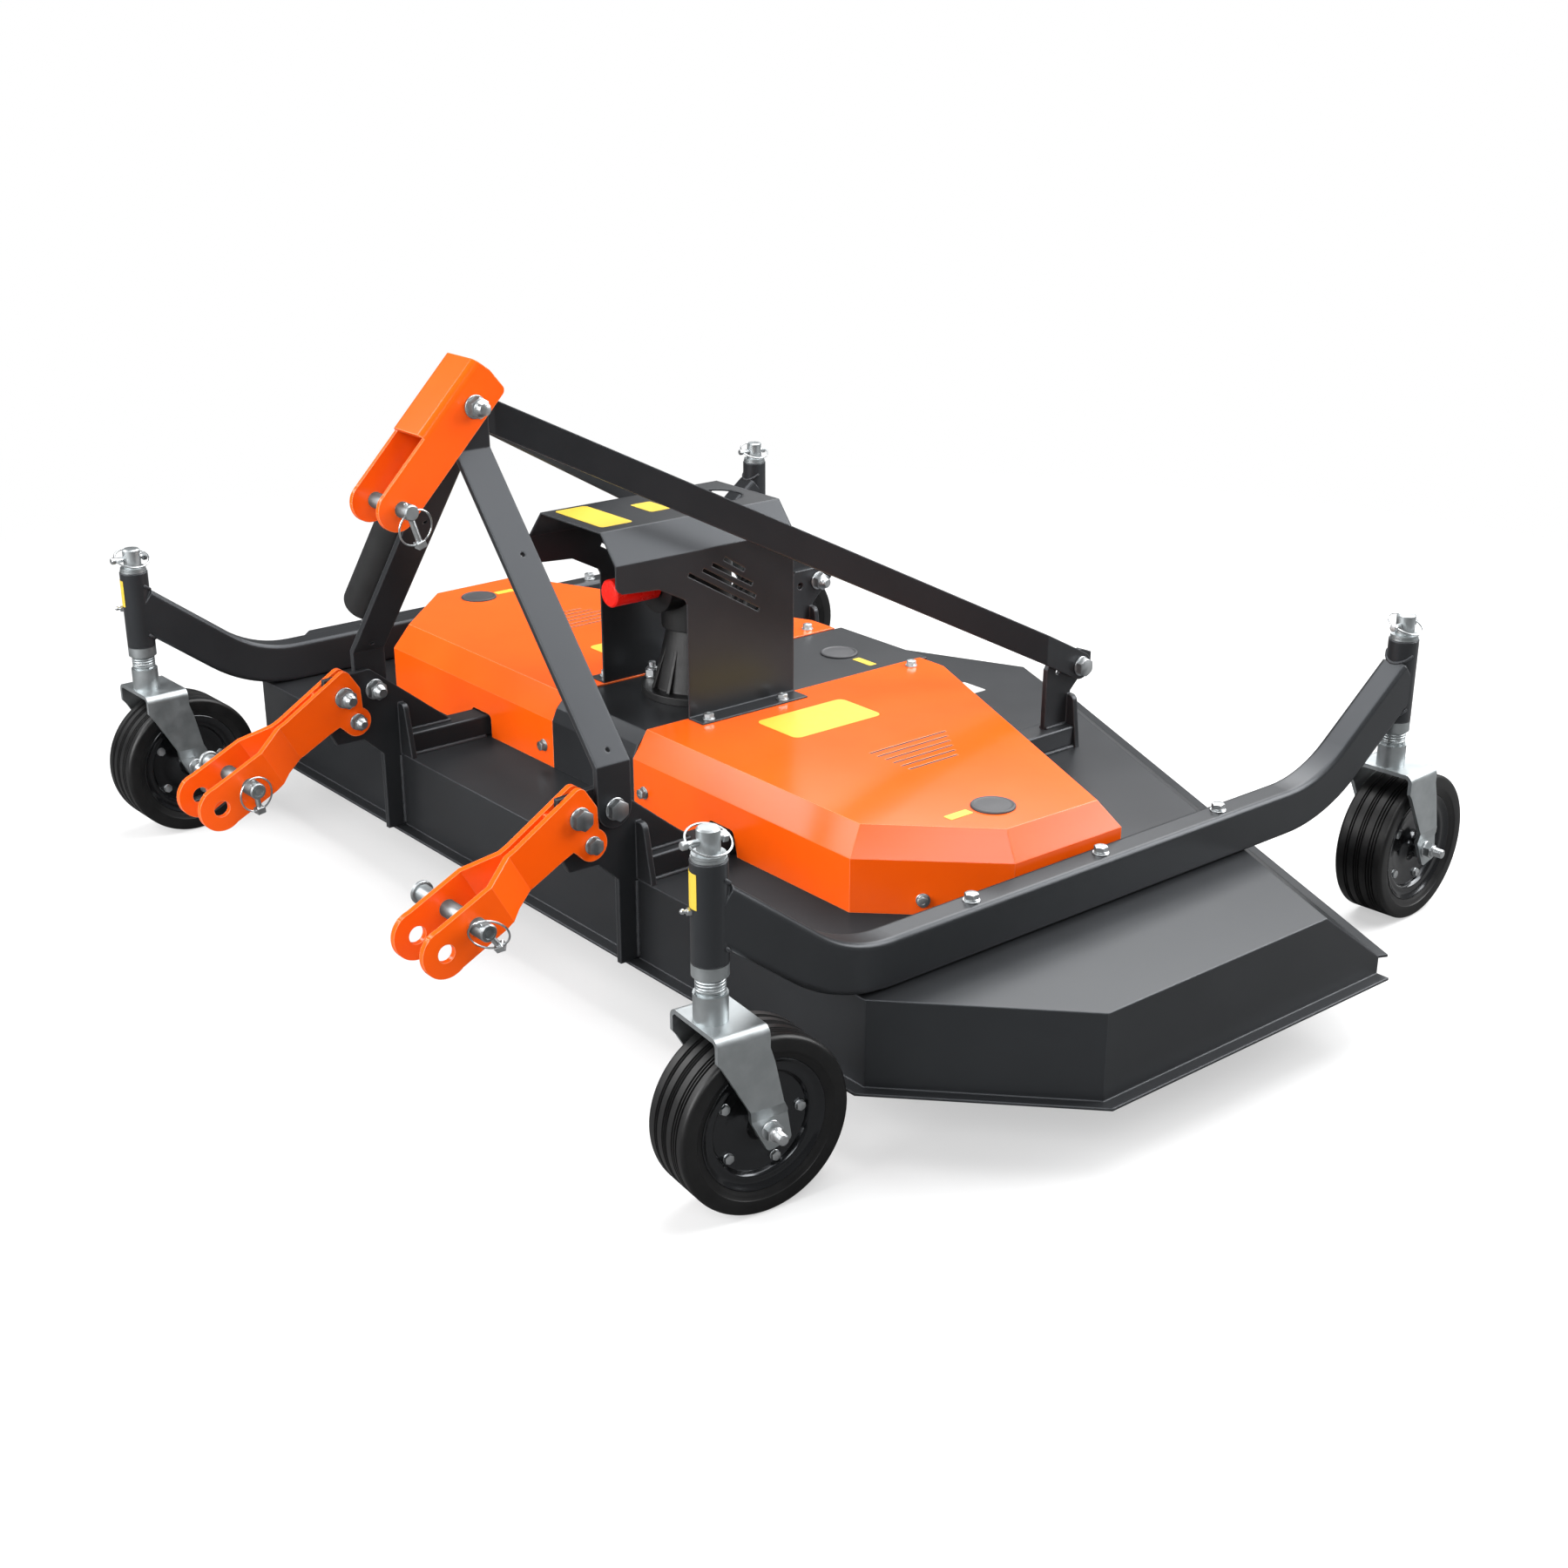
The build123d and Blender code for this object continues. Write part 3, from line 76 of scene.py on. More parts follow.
# colours, linear
ORANGE = (0.94, 0.100, 0.0025)
ORANGE_LIGHT = (0.96, 0.110, 0.0035)
CHARCOAL = (0.0150, 0.0159, 0.0172)
CHARCOAL_LIGHT = (0.0185, 0.0196, 0.0212)
ZINC = (0.42, 0.45, 0.46)
ZINC_LIGHT = (0.51, 0.54, 0.55)
RUBBER = (0.002, 0.002, 0.0022)
RUBBER_LIGHT = (0.006, 0.006, 0.0063)


# node groups shared by the materials
def effect(name, inputs, outputs):
    """Empty shader node group: inputs are (name, socket type, value), outputs (name, socket type)."""
    tree = bpy.data.node_groups.new(name, "ShaderNodeTree")
    for label, kind, value in inputs:
        tree.interface.new_socket(name=label, in_out="INPUT", socket_type=kind).default_value = value
    for label, kind in outputs:
        tree.interface.new_socket(name=label, in_out="OUTPUT", socket_type=kind)
    return tree, tree.nodes.new("NodeGroupInput"), tree.nodes.new("NodeGroupOutput")


def noise(tree, scale, detail, rough=0.5):
    """Noise texture in the piece's own coordinates, so it moves with the piece; scale is a group's input."""
    texture = tree.nodes.new("ShaderNodeTexNoise")
    texture.inputs["Detail"].default_value = detail
    texture.inputs["Roughness"].default_value = rough
    where = tree.nodes.new("ShaderNodeTexCoord").outputs["Object"]
    tree.links.new(where, texture.inputs["Vector"])
    tree.links.new(scale, texture.inputs["Scale"])
    return texture.outputs["Fac"]


def ramp(tree, value, low, high):
    """Clamps and stretches a value so that low gives 0 and high gives 1."""
    node = tree.nodes.new("ShaderNodeMapRange")
    node.inputs["From Min"].default_value = low
    node.inputs["From Max"].default_value = high
    tree.links.new(value, node.inputs["Value"])
    return node.outputs["Result"]


def paint_texture():
    """Powder coat: a fine pebbled surface, and broad soft patches for tone and gloss."""
    tree, inside, outside = effect(
        "powder coat surface",
        (("Grain Scale", "NodeSocketFloat", 900.0), ("Patch Scale", "NodeSocketFloat", 6.0)),
        (("Height", "NodeSocketFloat"), ("Patch", "NodeSocketFloat")))
    tree.links.new(noise(tree, inside.outputs["Grain Scale"], 1.0), outside.inputs["Height"])
    patch = ramp(tree, noise(tree, inside.outputs["Patch Scale"], 4.0, 0.6), 0.32, 0.68)
    tree.links.new(patch, outside.inputs["Patch"])
    return tree


def edge_highlight_and_grind():
    """Edge mask for a painted highlight on sheet edges, and for the ground edges of blade steel: 1 on an edge
    and 0 on a flat face, with a softened normal.
    """
    tree, inside, outside = effect(
        "edge softening",
        (("Radius", "NodeSocketFloat", 0.0015),),
        (("Edge", "NodeSocketFloat"), ("Normal", "NodeSocketVector")))
    bevel = tree.nodes.new("ShaderNodeBevel")
    bevel.samples = 6
    tree.links.new(inside.outputs["Radius"], bevel.inputs["Radius"])
    geometry = tree.nodes.new("ShaderNodeNewGeometry")
    dot = tree.nodes.new("ShaderNodeVectorMath")
    dot.operation = "DOT_PRODUCT"
    tree.links.new(bevel.outputs["Normal"], dot.inputs[0])
    tree.links.new(geometry.outputs["Normal"], dot.inputs[1])
    tree.links.new(ramp(tree, dot.outputs["Value"], 0.995, 0.80), outside.inputs["Edge"])
    tree.links.new(bevel.outputs["Normal"], outside.inputs["Normal"])
    return tree


def plating_texture():
    """Bright zinc: cloudy tone, tiny spangle and fine drawn scratches."""
    tree, inside, outside = effect(
        "zinc plating surface",
        (("Cloud Scale", "NodeSocketFloat", 35.0), ("Spangle Scale", "NodeSocketFloat", 700.0)),
        (("Cloud", "NodeSocketFloat"), ("Spangle", "NodeSocketFloat")))
    cloud = ramp(tree, noise(tree, inside.outputs["Cloud Scale"], 5.0, 0.65), 0.3, 0.7)
    tree.links.new(cloud, outside.inputs["Cloud"])
    tree.links.new(noise(tree, inside.outputs["Spangle Scale"], 2.0), outside.inputs["Spangle"])
    return tree


POWDER, EDGES, PLATING = paint_texture(), edge_highlight_and_grind(), plating_texture()


# materials
class Finish:
    """A material with its Principled shader, and short ways to wire it."""

    def __init__(self, name, colour, roughness, metallic=0.0):
        self.material = bpy.data.materials.new(name)
        self.material.use_nodes = True
        self.tree = self.material.node_tree
        self.shader = self.tree.nodes["Principled BSDF"]
        self.set("Base Color", (*colour, 1))
        self.set("Roughness", roughness)
        self.set("Metallic", metallic)

    def set(self, socket, value):
        self.shader.inputs[socket].default_value = value

    def group(self, tree, **values):
        node = self.tree.nodes.new("ShaderNodeGroup")
        node.node_tree = tree
        for socket, value in values.items():
            node.inputs[socket.replace("_", " ")].default_value = value
        return node.outputs

    def blend(self, mask, low, high, socket=None):
        """Colour or number between low and high by a mask, linked to the shader's socket if one is named."""
        colour = isinstance(low, tuple) or hasattr(low, "links") and low.type == "RGBA"
        mix = self.tree.nodes.new("ShaderNodeMix")
        mix.data_type = "RGBA" if colour else "FLOAT"
        first, second, result = (6, 7, 2) if colour else (2, 3, 0)
        self.tree.links.new(mask, mix.inputs[0])
        for index, value in ((first, low), (second, high)):
            if hasattr(value, "links"):
                self.tree.links.new(value, mix.inputs[index])
            else:
                mix.inputs[index].default_value = (*value, 1) if colour else value
        if socket:
            self.tree.links.new(mix.outputs[result], self.shader.inputs[socket])
        return mix.outputs[result]

    def bump(self, height, depth, strength=1.0, normal=None):
        node = self.tree.nodes.new("ShaderNodeBump")
        node.inputs["Distance"].default_value = depth
        node.inputs["Strength"].default_value = strength
        self.tree.links.new(height, node.inputs["Height"])
        if normal is not None:
            self.tree.links.new(normal, node.inputs["Normal"])
        self.tree.links.new(node.outputs["Normal"], self.shader.inputs["Normal"])
        return node.outputs["Normal"]


def powder_coat(name, dark, light, edge, gloss, grain=900.0, depth=0.00004, radius=0.0015, coat=0.0,
                shine=0.5, mirrored=None):
    """Painted sheet: gloss is the (lowest, highest) roughness, edge the colour of the painted highlight on
    sheet edges.
    """
    finish = Finish(name, dark, gloss[0])
    surface = finish.group(POWDER, Grain_Scale=grain)
    edges = finish.group(EDGES, Radius=radius)
    tone = finish.blend(surface["Patch"], dark, light)
    # paler colour along folds and cut edges: a painted highlight
    tone = finish.blend(edges["Edge"], tone, edge, None if mirrored else "Base Color")
    if mirrored:
        # bright paint is toned down where dark paint and bare metal mirror it
        ray = finish.tree.nodes.new("ShaderNodeLightPath").outputs["Is Glossy Ray"]
        finish.blend(ray, tone, mirrored, "Base Color")
    finish.blend(surface["Patch"], gloss[0], gloss[1], "Roughness")
    finish.bump(surface["Height"], depth, 0.6, edges["Normal"])
    finish.set("Specular IOR Level", shine)
    # cool blue tint on the paint's reflections: a painted cool sheen in place of a bluish sky
    finish.set("Specular Tint", (0.88, 0.93, 1.0, 1))
    finish.set("Coat Weight", coat)
    finish.set("Coat Roughness", 0.10)
    return finish.material


def zinc_plate(name, roughness=0.38, tint=ZINC, light=ZINC_LIGHT):
    """Zinc plated steel: cloudy tone and gloss under fine spangle."""
    finish = Finish(name, tint, roughness, 1.0)
    surface = finish.group(PLATING)
    finish.blend(surface["Cloud"], tint, light, "Base Color")
    finish.blend(surface["Cloud"], roughness, roughness + 0.10, "Roughness")
    finish.bump(surface["Spangle"], 0.00003, 0.5)
    return finish.material


def rubber(name):
    finish = Finish(name, RUBBER, 0.5)
    surface = finish.group(POWDER, Grain_Scale=420.0, Patch_Scale=18.0)
    finish.blend(surface["Patch"], RUBBER, RUBBER_LIGHT, "Base Color")
    finish.blend(surface["Patch"], 0.36, 0.46, "Roughness")
    finish.set("Specular IOR Level", 0.42)
    finish.bump(surface["Height"], 0.0001, 0.5)
    return finish.material


def moulded(name, colour, light, roughness, grain=500.0, depth=0.00003):
    """Moulded plastic with a fine spark-eroded skin."""
    finish = Finish(name, colour, roughness)
    surface = finish.group(POWDER, Grain_Scale=grain, Patch_Scale=25.0)
    edges = finish.group(EDGES, Radius=0.001)
    finish.blend(surface["Patch"], colour, light, "Base Color")
    finish.blend(surface["Patch"], roughness, roughness + 0.1, "Roughness")
    finish.bump(surface["Height"], depth, 0.5, edges["Normal"])
    return finish.material


def casting(name):
    """Painted cast iron, coarse sand skin under the paint."""
    finish = Finish(name, (0.006, 0.006, 0.0065), 0.45)
    surface = finish.group(POWDER, Grain_Scale=260.0, Patch_Scale=14.0)
    edges = finish.group(EDGES, Radius=0.003)
    finish.blend(surface["Patch"], (0.004, 0.004, 0.0043), (0.008, 0.008, 0.0085), "Base Color")
    finish.blend(surface["Patch"], 0.38, 0.6, "Roughness")
    finish.bump(surface["Height"], 0.0004, 0.6, edges["Normal"])
    return finish.material


def rolled_steel(name):
    """Bare blade steel: dull, clouded by heat, brighter along ground edges."""
    finish = Finish(name, (0.30, 0.30, 0.31), 0.45, 1.0)
    surface = finish.group(PLATING, Cloud_Scale=12.0, Spangle_Scale=300.0)
    edges = finish.group(EDGES, Radius=0.002)
    tone = finish.blend(surface["Cloud"], (0.22, 0.215, 0.21), (0.40, 0.40, 0.41))
    finish.blend(edges["Edge"], tone, (0.62, 0.62, 0.63), "Base Color")
    finish.blend(surface["Cloud"], 0.36, 0.58, "Roughness")
    finish.bump(surface["Spangle"], 0.00008, 0.6, edges["Normal"])
    return finish.material


# in each powder coat, the colour after its two paint tones is a painted highlight on sheet edges
FINISHES = {
    "orange_paint": powder_coat("orange powder coat", ORANGE, ORANGE_LIGHT, (1.0, 0.40, 0.18), (0.17, 0.19),
                                700.0, 0.00002, radius=0.002, shine=0.42, mirrored=(0.16, 0.10, 0.085)),
    "black_paint": powder_coat("charcoal powder coat", CHARCOAL, CHARCOAL_LIGHT, (0.070, 0.073, 0.078),
                               (0.31, 0.35), radius=0.004, shine=0.46),
    "rim_paint": powder_coat("gloss black rim paint", (0.003, 0.003, 0.0033), (0.005, 0.005, 0.0053),
                             (0.012, 0.012, 0.0125), (0.17, 0.20), 500.0, radius=0.001, coat=0.3),
    "tyre_rubber": rubber("tyre rubber"),
    "zinc": zinc_plate("bright zinc plate"),
    "blade_steel": rolled_steel("rolled blade steel"),
    "cast_iron": casting("painted casting"),
    "red_plastic": moulded("red cap plastic", (0.84, 0.012, 0.007), (0.90, 0.018, 0.009), 0.20),
    "black_plastic": moulded("black tube plastic", (0.008, 0.008, 0.0085), (0.012, 0.012, 0.0125), 0.45,
                             260.0, 0.00008),
}
BOLT_ZINC = zinc_plate("bolt zinc", 0.30, (0.52, 0.54, 0.55), (0.66, 0.68, 0.69))
WIRE_STEEL = zinc_plate("spring wire", 0.26, (0.54, 0.56, 0.57), (0.64, 0.66, 0.67))
CAP_GREY = moulded("dark cover cap", (0.040, 0.041, 0.045), (0.050, 0.051, 0.055), 0.45)
BLANK_YELLOW = moulded("blank yellow plate", (0.66, 0.46, 0.040), (0.70, 0.49, 0.045), 0.35, 200.0, 0.00001)
BLANK_WHITE = moulded("blank white plate", (0.55, 0.55, 0.545), (0.60, 0.60, 0.595), 0.35, 200.0, 0.00001)


def finish_nodes():
    """The CAD nodes that stay take the finish of their slot."""
    for row in frame["record"]["subparts"]:
        mesh = nodes[row["node"]].data
        mesh.materials.clear()
        mesh.materials.append(FINISHES[row["material_slot"]])


# mesh helpers
def piece(name, mesh, material, body, sharp=32, replaces=()):
    """Turns a bmesh into an object that rides on a body, smooth up to the sharp angle in degrees."""
    bmesh.ops.recalc_face_normals(mesh, faces=mesh.faces)
    data = bpy.data.meshes.new(name)
    mesh.to_mesh(data)
    mesh.free()
    data.polygons.foreach_set("use_smooth", [True] * len(data.polygons))
    data.set_sharp_from_angle(angle=math.radians(sharp))
    data.materials.append(material)
    obj = bpy.data.objects.new(name, data)
    scene.collection.objects.link(obj)
    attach(obj, body)
    if replaces:
        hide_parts(*replaces)


def facing(point, direction, up=Z):
    """Matrix that puts local z along direction at a point; local x stays level with up where it can."""
    z = Vector(direction).normalized()
    if abs(z.dot(up)) > 0.99:
        up = Y
    x = up.cross(z).normalized()
    y = z.cross(x)
    turn = Matrix((x, y, z)).transposed().to_4x4()
    return Matrix.Translation(point) @ turn


def ring_of(mesh, place, outline):
    return [mesh.verts.new(place @ Vector(p)) for p in outline]


def bridge(mesh, rings):
    """Faces between rings of equal length, each ring closed on itself."""
    for low, high in zip(rings, rings[1:]):
        for i in range(len(low)):
            j = (i + 1) % len(low)
            mesh.faces.new((low[i], low[j], high[j], high[i]))


def lathe(mesh, profile, place, steps=48, loop=False):
    """Turns (radius, height) points about local z. Ends on the axis close by themselves."""
    rings = []
    for radius, height in profile:
        if radius < 1e-6:
            rings.append([mesh.verts.new(place @ Vector((0, 0, height)))])
        else:
            rings.append(ring_of(mesh, place, [(radius * math.cos(t), radius * math.sin(t), height)
                                               for t in (2 * math.pi * i / steps for i in range(steps))]))
    pairs = list(zip(rings, rings[1:])) + ([(rings[-1], rings[0])] if loop else [])
    for low, high in pairs:
        for i in range(steps):
            j = (i + 1) % steps
            if len(low) == 1:
                mesh.faces.new((low[0], high[j], high[i]))
            elif len(high) == 1:
                mesh.faces.new((low[i], low[j], high[0]))
            else:
                mesh.faces.new((low[i], low[j], high[j], high[i]))


def hexagon(mesh, place, across, high, steps=36):
    """Hexagon head with its corners turned down at the top, standing on local z = 0."""
    apothem, flat = across / 2, across / 2 * 0.94
    angles = [2 * math.pi * i / steps for i in range(steps)]
    reach = [apothem / math.cos((t + math.pi / 6) % (math.pi / 3) - math.pi / 6) for t in angles]
    foot = ring_of(mesh, place, [(r * math.cos(t), r * math.sin(t), 0) for t, r in zip(angles, reach)])
    side = ring_of(mesh, place, [(r * math.cos(t), r * math.sin(t), high - (r - flat) * 0.5)
                                 for t, r in zip(angles, reach)])
    top = ring_of(mesh, place, [(flat * math.cos(t), flat * math.sin(t), high) for t in angles])
    bridge(mesh, (foot, side, top))
    mesh.faces.new(top)
    mesh.faces.new(foot[::-1])


def washer(mesh, place, radius, thick):
    """Flat washer, closed over its bolt."""
    edge = thick * 0.25
    lathe(mesh, [(0, 0), (radius - edge, 0), (radius, edge), (radius, thick - edge), (radius - edge, thick),
                 (0, thick)], place, 32)


def thread(mesh, place, radius, long, pitch):
    """Threaded stub along local z, as closed grooves, with a chamfered end."""
    profile, height, depth = [(radius * 0.9, 0)], 0.0, pitch * 0.35
    while height < long - pitch * 1.5:
        profile += [(radius, height + pitch * 0.25), (radius - depth, height + pitch * 0.75)]
        height += pitch
    profile += [(radius, height + pitch * 0.3), (radius * 0.75, long), (0, long)]
    lathe(mesh, profile, place, 24)


def dome_nut(mesh, place, across, high):
    """Nut with a nylon collar standing above the hexagon."""
    hexagon(mesh, place, across, high * 0.75)
    collar = place @ Matrix.Translation((0, 0, high * 0.72))
    lathe(mesh, [(across * 0.43, 0), (across * 0.43, high * 0.15), (across * 0.34, high * 0.28),
                 (0, high * 0.28)], collar, 32)


def flange_bolt(mesh, point, direction, size):
    """Small bolt with a spring washer under its head; size is the thread's diameter."""
    place = facing(point, direction)
    washer(mesh, place, size * 1.1, size * 0.18)
    lift = place @ Matrix.Translation((0, 0, size * 0.18))
    washer(mesh, lift, size * 0.86, size * 0.2)
    hexagon(mesh, lift @ Matrix.Translation((0, 0, size * 0.2)), size * 1.6, size * 0.65)
    lathe(mesh, [(size * 0.3, 0), (size * 0.26, -size * 0.06), (0, -size * 0.08)],
          lift @ Matrix.Translation((0, 0, size * 0.88)), 16)


def through_bolt(mesh, centre, axis, low, high, size, across):
    """Bolt through plates: head past high, nut, collar and thread past low, each on a washer."""
    head = facing(centre + axis * high, axis)
    washer(mesh, head, across * 0.61, size * 0.14)
    hexagon(mesh, head @ Matrix.Translation((0, 0, size * 0.14)), across, size * 0.62)
    nut = facing(centre + axis * low, -axis)
    washer(mesh, nut, across * 0.62, size * 0.14)
    dome_nut(mesh, nut @ Matrix.Translation((0, 0, size * 0.14)), across, size)
    thread(mesh, nut @ Matrix.Translation((0, 0, size)), size / 2, size * 0.55, size * 0.125)


def frames_along(points, closed=False):
    """Points with unit tangents and two normals carried along a path without twist."""
    points = [Vector(p) for p in points]
    out, normal = [], None
    for i, point in enumerate(points):
        before = points[i - 1] if i or closed else point
        after = points[(i + 1) % len(points)] if i < len(points) - 1 or closed else point
        tangent = (after - before).normalized()
        if normal is None:
            normal = tangent.orthogonal().normalized()
        normal = (normal - tangent * normal.dot(tangent)).normalized()
        out.append((point, tangent, normal, tangent.cross(normal)))
    return out


def wire(mesh, points, radius, sides=10, closed=False):
    """Round wire along points, with flat ends where it is open."""
    rings = []
    for point, _, across, up in frames_along(points, closed):
        rings.append([mesh.verts.new(point + radius * (across * math.cos(t) + up * math.sin(t)))
                      for t in (2 * math.pi * i / sides for i in range(sides))])
    bridge(mesh, rings + ([rings[0]] if closed else []))
    if not closed:
        mesh.faces.new(rings[0][::-1])
        mesh.faces.new(rings[-1])


def resampled(points, step):
    """Even points along straight runs."""
    points = [Vector(p) for p in points]
    out = []
    for a, b in zip(points, points[1:]):
        count = max(1, round((b - a).length / step))
        out += [a.lerp(b, i / count) for i in range(count)]
    return out + [points[-1]]


def weld(mesh, points, radius):
    """Weld bead: a round bead whose ripples follow each other every two or three millimetres."""
    pitch = radius * 0.75
    rings = []
    for i, (point, tangent, across, up) in enumerate(frames_along(resampled(points, pitch / 3))):
        ripple = 0.13 * math.cos(2 * math.pi * i / 3)
        unevenness = 0.10 * math.sin(i * 0.37) * math.sin(i * 0.11)
        swell = radius * (1 + ripple + unevenness)
        drift = tangent * radius * 0.2
        rings.append([mesh.verts.new(point + drift * math.cos(t)
                                     + swell * (across * math.cos(t) + up * math.sin(t)))
                      for t in (2 * math.pi * j / 8 for j in range(8))])
    bridge(mesh, rings)
    mesh.faces.new(rings[0][::-1])
    mesh.faces.new(rings[-1])


def plate(mesh, place, wide, high, thick, corner):
    """Thin plate with rounded corners, on local z = 0 and centred."""
    outline = []
    for cx, cy, start in ((1, 1, 0), (-1, 1, 90), (-1, -1, 180), (1, -1, 270)):
        for i in range(5):
            t = math.radians(start + i * 22.5)
            outline.append((cx * (wide / 2 - corner) + corner * math.cos(t),
                            cy * (high / 2 - corner) + corner * math.sin(t)))
    low = ring_of(mesh, place, [(x, y, 0) for x, y in outline])
    top = ring_of(mesh, place, [(x, y, thick) for x, y in outline])
    bridge(mesh, (low, top))
    mesh.faces.new(top)
    mesh.faces.new(low[::-1])


# wheels
WHEEL_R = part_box("wheel_tyre_front_left")[1].z / 2
RIM_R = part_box("wheel_rim_front_left")[1].z - WHEEL_R
TYRE_HALF = 0.0465
DISC_HALF = 0.025
GROOVES = (-0.026, -0.0215, -0.0065, -0.002, 0.0025, 0.018, 0.0235, 0.029)
GROOVE_DEEP = 0.0026
GROOVE_HALF = 0.0010
BOLT_CIRCLE_R = 0.065


def tyre_profile():
    """(radius, across) points of a tyre from bead to bead, grooves across its tread."""
    soft, half = 0.0075, TYRE_HALF
    side = [(RIM_R - 0.001, half - 0.0075), (RIM_R + 0.003, half - 0.0055), (RIM_R + 0.006, half - 0.0035),
            (RIM_R + 0.010, half - 0.0022), (RIM_R + 0.0115, half - 0.0008), (RIM_R + 0.014, half - 0.0003)]
    side += [(WHEEL_R - soft * (1 - math.sin(math.radians(a))), half - soft * (1 - math.cos(math.radians(a))))
             for a in range(0, 91, 10)]
    tread = []
    for at in sorted(GROOVES, reverse=True):
        tread += [(WHEEL_R, at + 2 * GROOVE_HALF), (WHEEL_R - GROOVE_DEEP, at + GROOVE_HALF),
                  (WHEEL_R - GROOVE_DEEP, at - GROOVE_HALF), (WHEEL_R, at - 2 * GROOVE_HALF)]
    return side + tread + [(r, -across) for r, across in side[::-1]]


def rim_profile():
    """(radius, across) points of one pressed half, from the hub's bore out to the bead seat."""
    d = DISC_HALF
    return [(0.0085, 0.045), (0.0175, 0.045), (0.019, 0.0435), (0.0195, d + 0.006), (0.0235, d + 0.001),
            (0.030, d - 0.002), (0.040, d - 0.003), (0.052, d - 0.001), (0.058, d), (0.071, d),
            (0.0735, d + 0.001), (0.0755, d + 0.005), (0.0775, d + 0.0085), (0.080, d + 0.010),
            (0.084, d + 0.0095), (0.0875, d + 0.010), (0.091, d + 0.0115), (0.094, d + 0.014),
            (0.0965, d + 0.0155), (RIM_R - 0.0003, d + 0.0148), (RIM_R - 0.0003, 0.0)]


def wheels():
    """Tyre, pressed rim and the five bolts that hold its halves together, on each spinning wheel."""
    for name in CASTERS:
        joint = joints[f"wheel_{name}_spin"]
        place = facing(joint["pos_m"], joint["axis"])
        body = f"wheel_{name}"
        tyre = bmesh.new()
        lathe(tyre, tyre_profile(), place, 128)
        piece(f"tyre_{name}", tyre, FINISHES["tyre_rubber"], body, 28, (f"wheel_tyre_{name}",))
        disc = bmesh.new()
        half = rim_profile()
        lathe(disc, half + [(r, -across) for r, across in half[-2::-1]], place, 96, loop=True)
        piece(f"rim_{name}", disc, FINISHES["rim_paint"], body, 40, (f"wheel_rim_{name}",))
        bolts = bmesh.new()
        for i in range(5):
            turn = math.radians(148 - 72 * i)
            out = place.to_3x3() @ Vector((math.cos(turn), math.sin(turn), 0))
            axis = Vector(joint["axis"])
            centre = Vector(joint["pos_m"]) + out * BOLT_CIRCLE_R
            through_bolt(bolts, centre, axis, -DISC_HALF, DISC_HALF, 0.008, 0.013)
        piece(f"rim_bolts_{name}", bolts, BOLT_ZINC, body)


# casters: linchpin, axle hardware and grease nipple
PIN_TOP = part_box("caster_fork_front_left")[1].z
AXLE_HALF = 0.054           # from the wheel's middle to the fork's outer face
COIL_R, COIL_WIRE = 0.0192, 0.0019
COIL_TURNS = 5


def linchpin(name, hole, along, ring_normal, reach, ring, body, half=0.0075, knob=False):
    """Pin through a cross hole, its block past one end and its tip past the other, and a spring ring.

    reach is (tip, block) from the hole's centre, ring is (where it leaves the pin, radius) and half is half
    the block's width.
    """
    along = Vector(along).normalized()
    normal = Vector(ring_normal).normalized()
    tip, block = reach
    start, radius = ring
    shank = bmesh.new()
    thick = 0.00475
    if knob:
        end = [(0, 0), (0.005, 0.0005), (0.0062, 0.002), (0.0062, 0.008), (0.005, 0.0095), (thick, 0.010)]
    else:
        end = [(0, 0), (0.0022, 0.0005), (0.0038, 0.004), (0.0038, 0.007), (thick, 0.010)]
    profile = [(r, height - tip) for r, height in end] + [(thick, block), (0, block)]
    lathe(shank, profile, facing(hole, along), 24)
    place = facing(hole + along * block, along, normal)
    rings = []
    for height, wide in ((-0.8, 0.86), (-0.62, 1.0), (0.62, 1.0), (0.8, 0.84)):
        rings.append(ring_of(shank, place, [(x * half * wide, y * half * wide * 0.9, height * half)
                                            for x, y in ((1, 1), (-1, 1), (-1, -1), (1, -1))]))
    bridge(shank, rings)
    shank.faces.new(rings[0][::-1])
    shank.faces.new(rings[-1])
    piece(f"{name}_linchpin", shank, BOLT_ZINC, body)
    spine = (normal * along.dot(normal) - along).normalized()
    across = spine.cross(normal)
    middle = hole + along * start + spine * radius
    loop = bmesh.new()
    wire(loop, [middle + radius * (spine * math.cos(t) + across * math.sin(t))
                for t in (2 * math.pi * i / 64 for i in range(64))], 0.0016, 8, True)
    piece(f"{name}_linchpin_ring", loop, WIRE_STEEL, body)


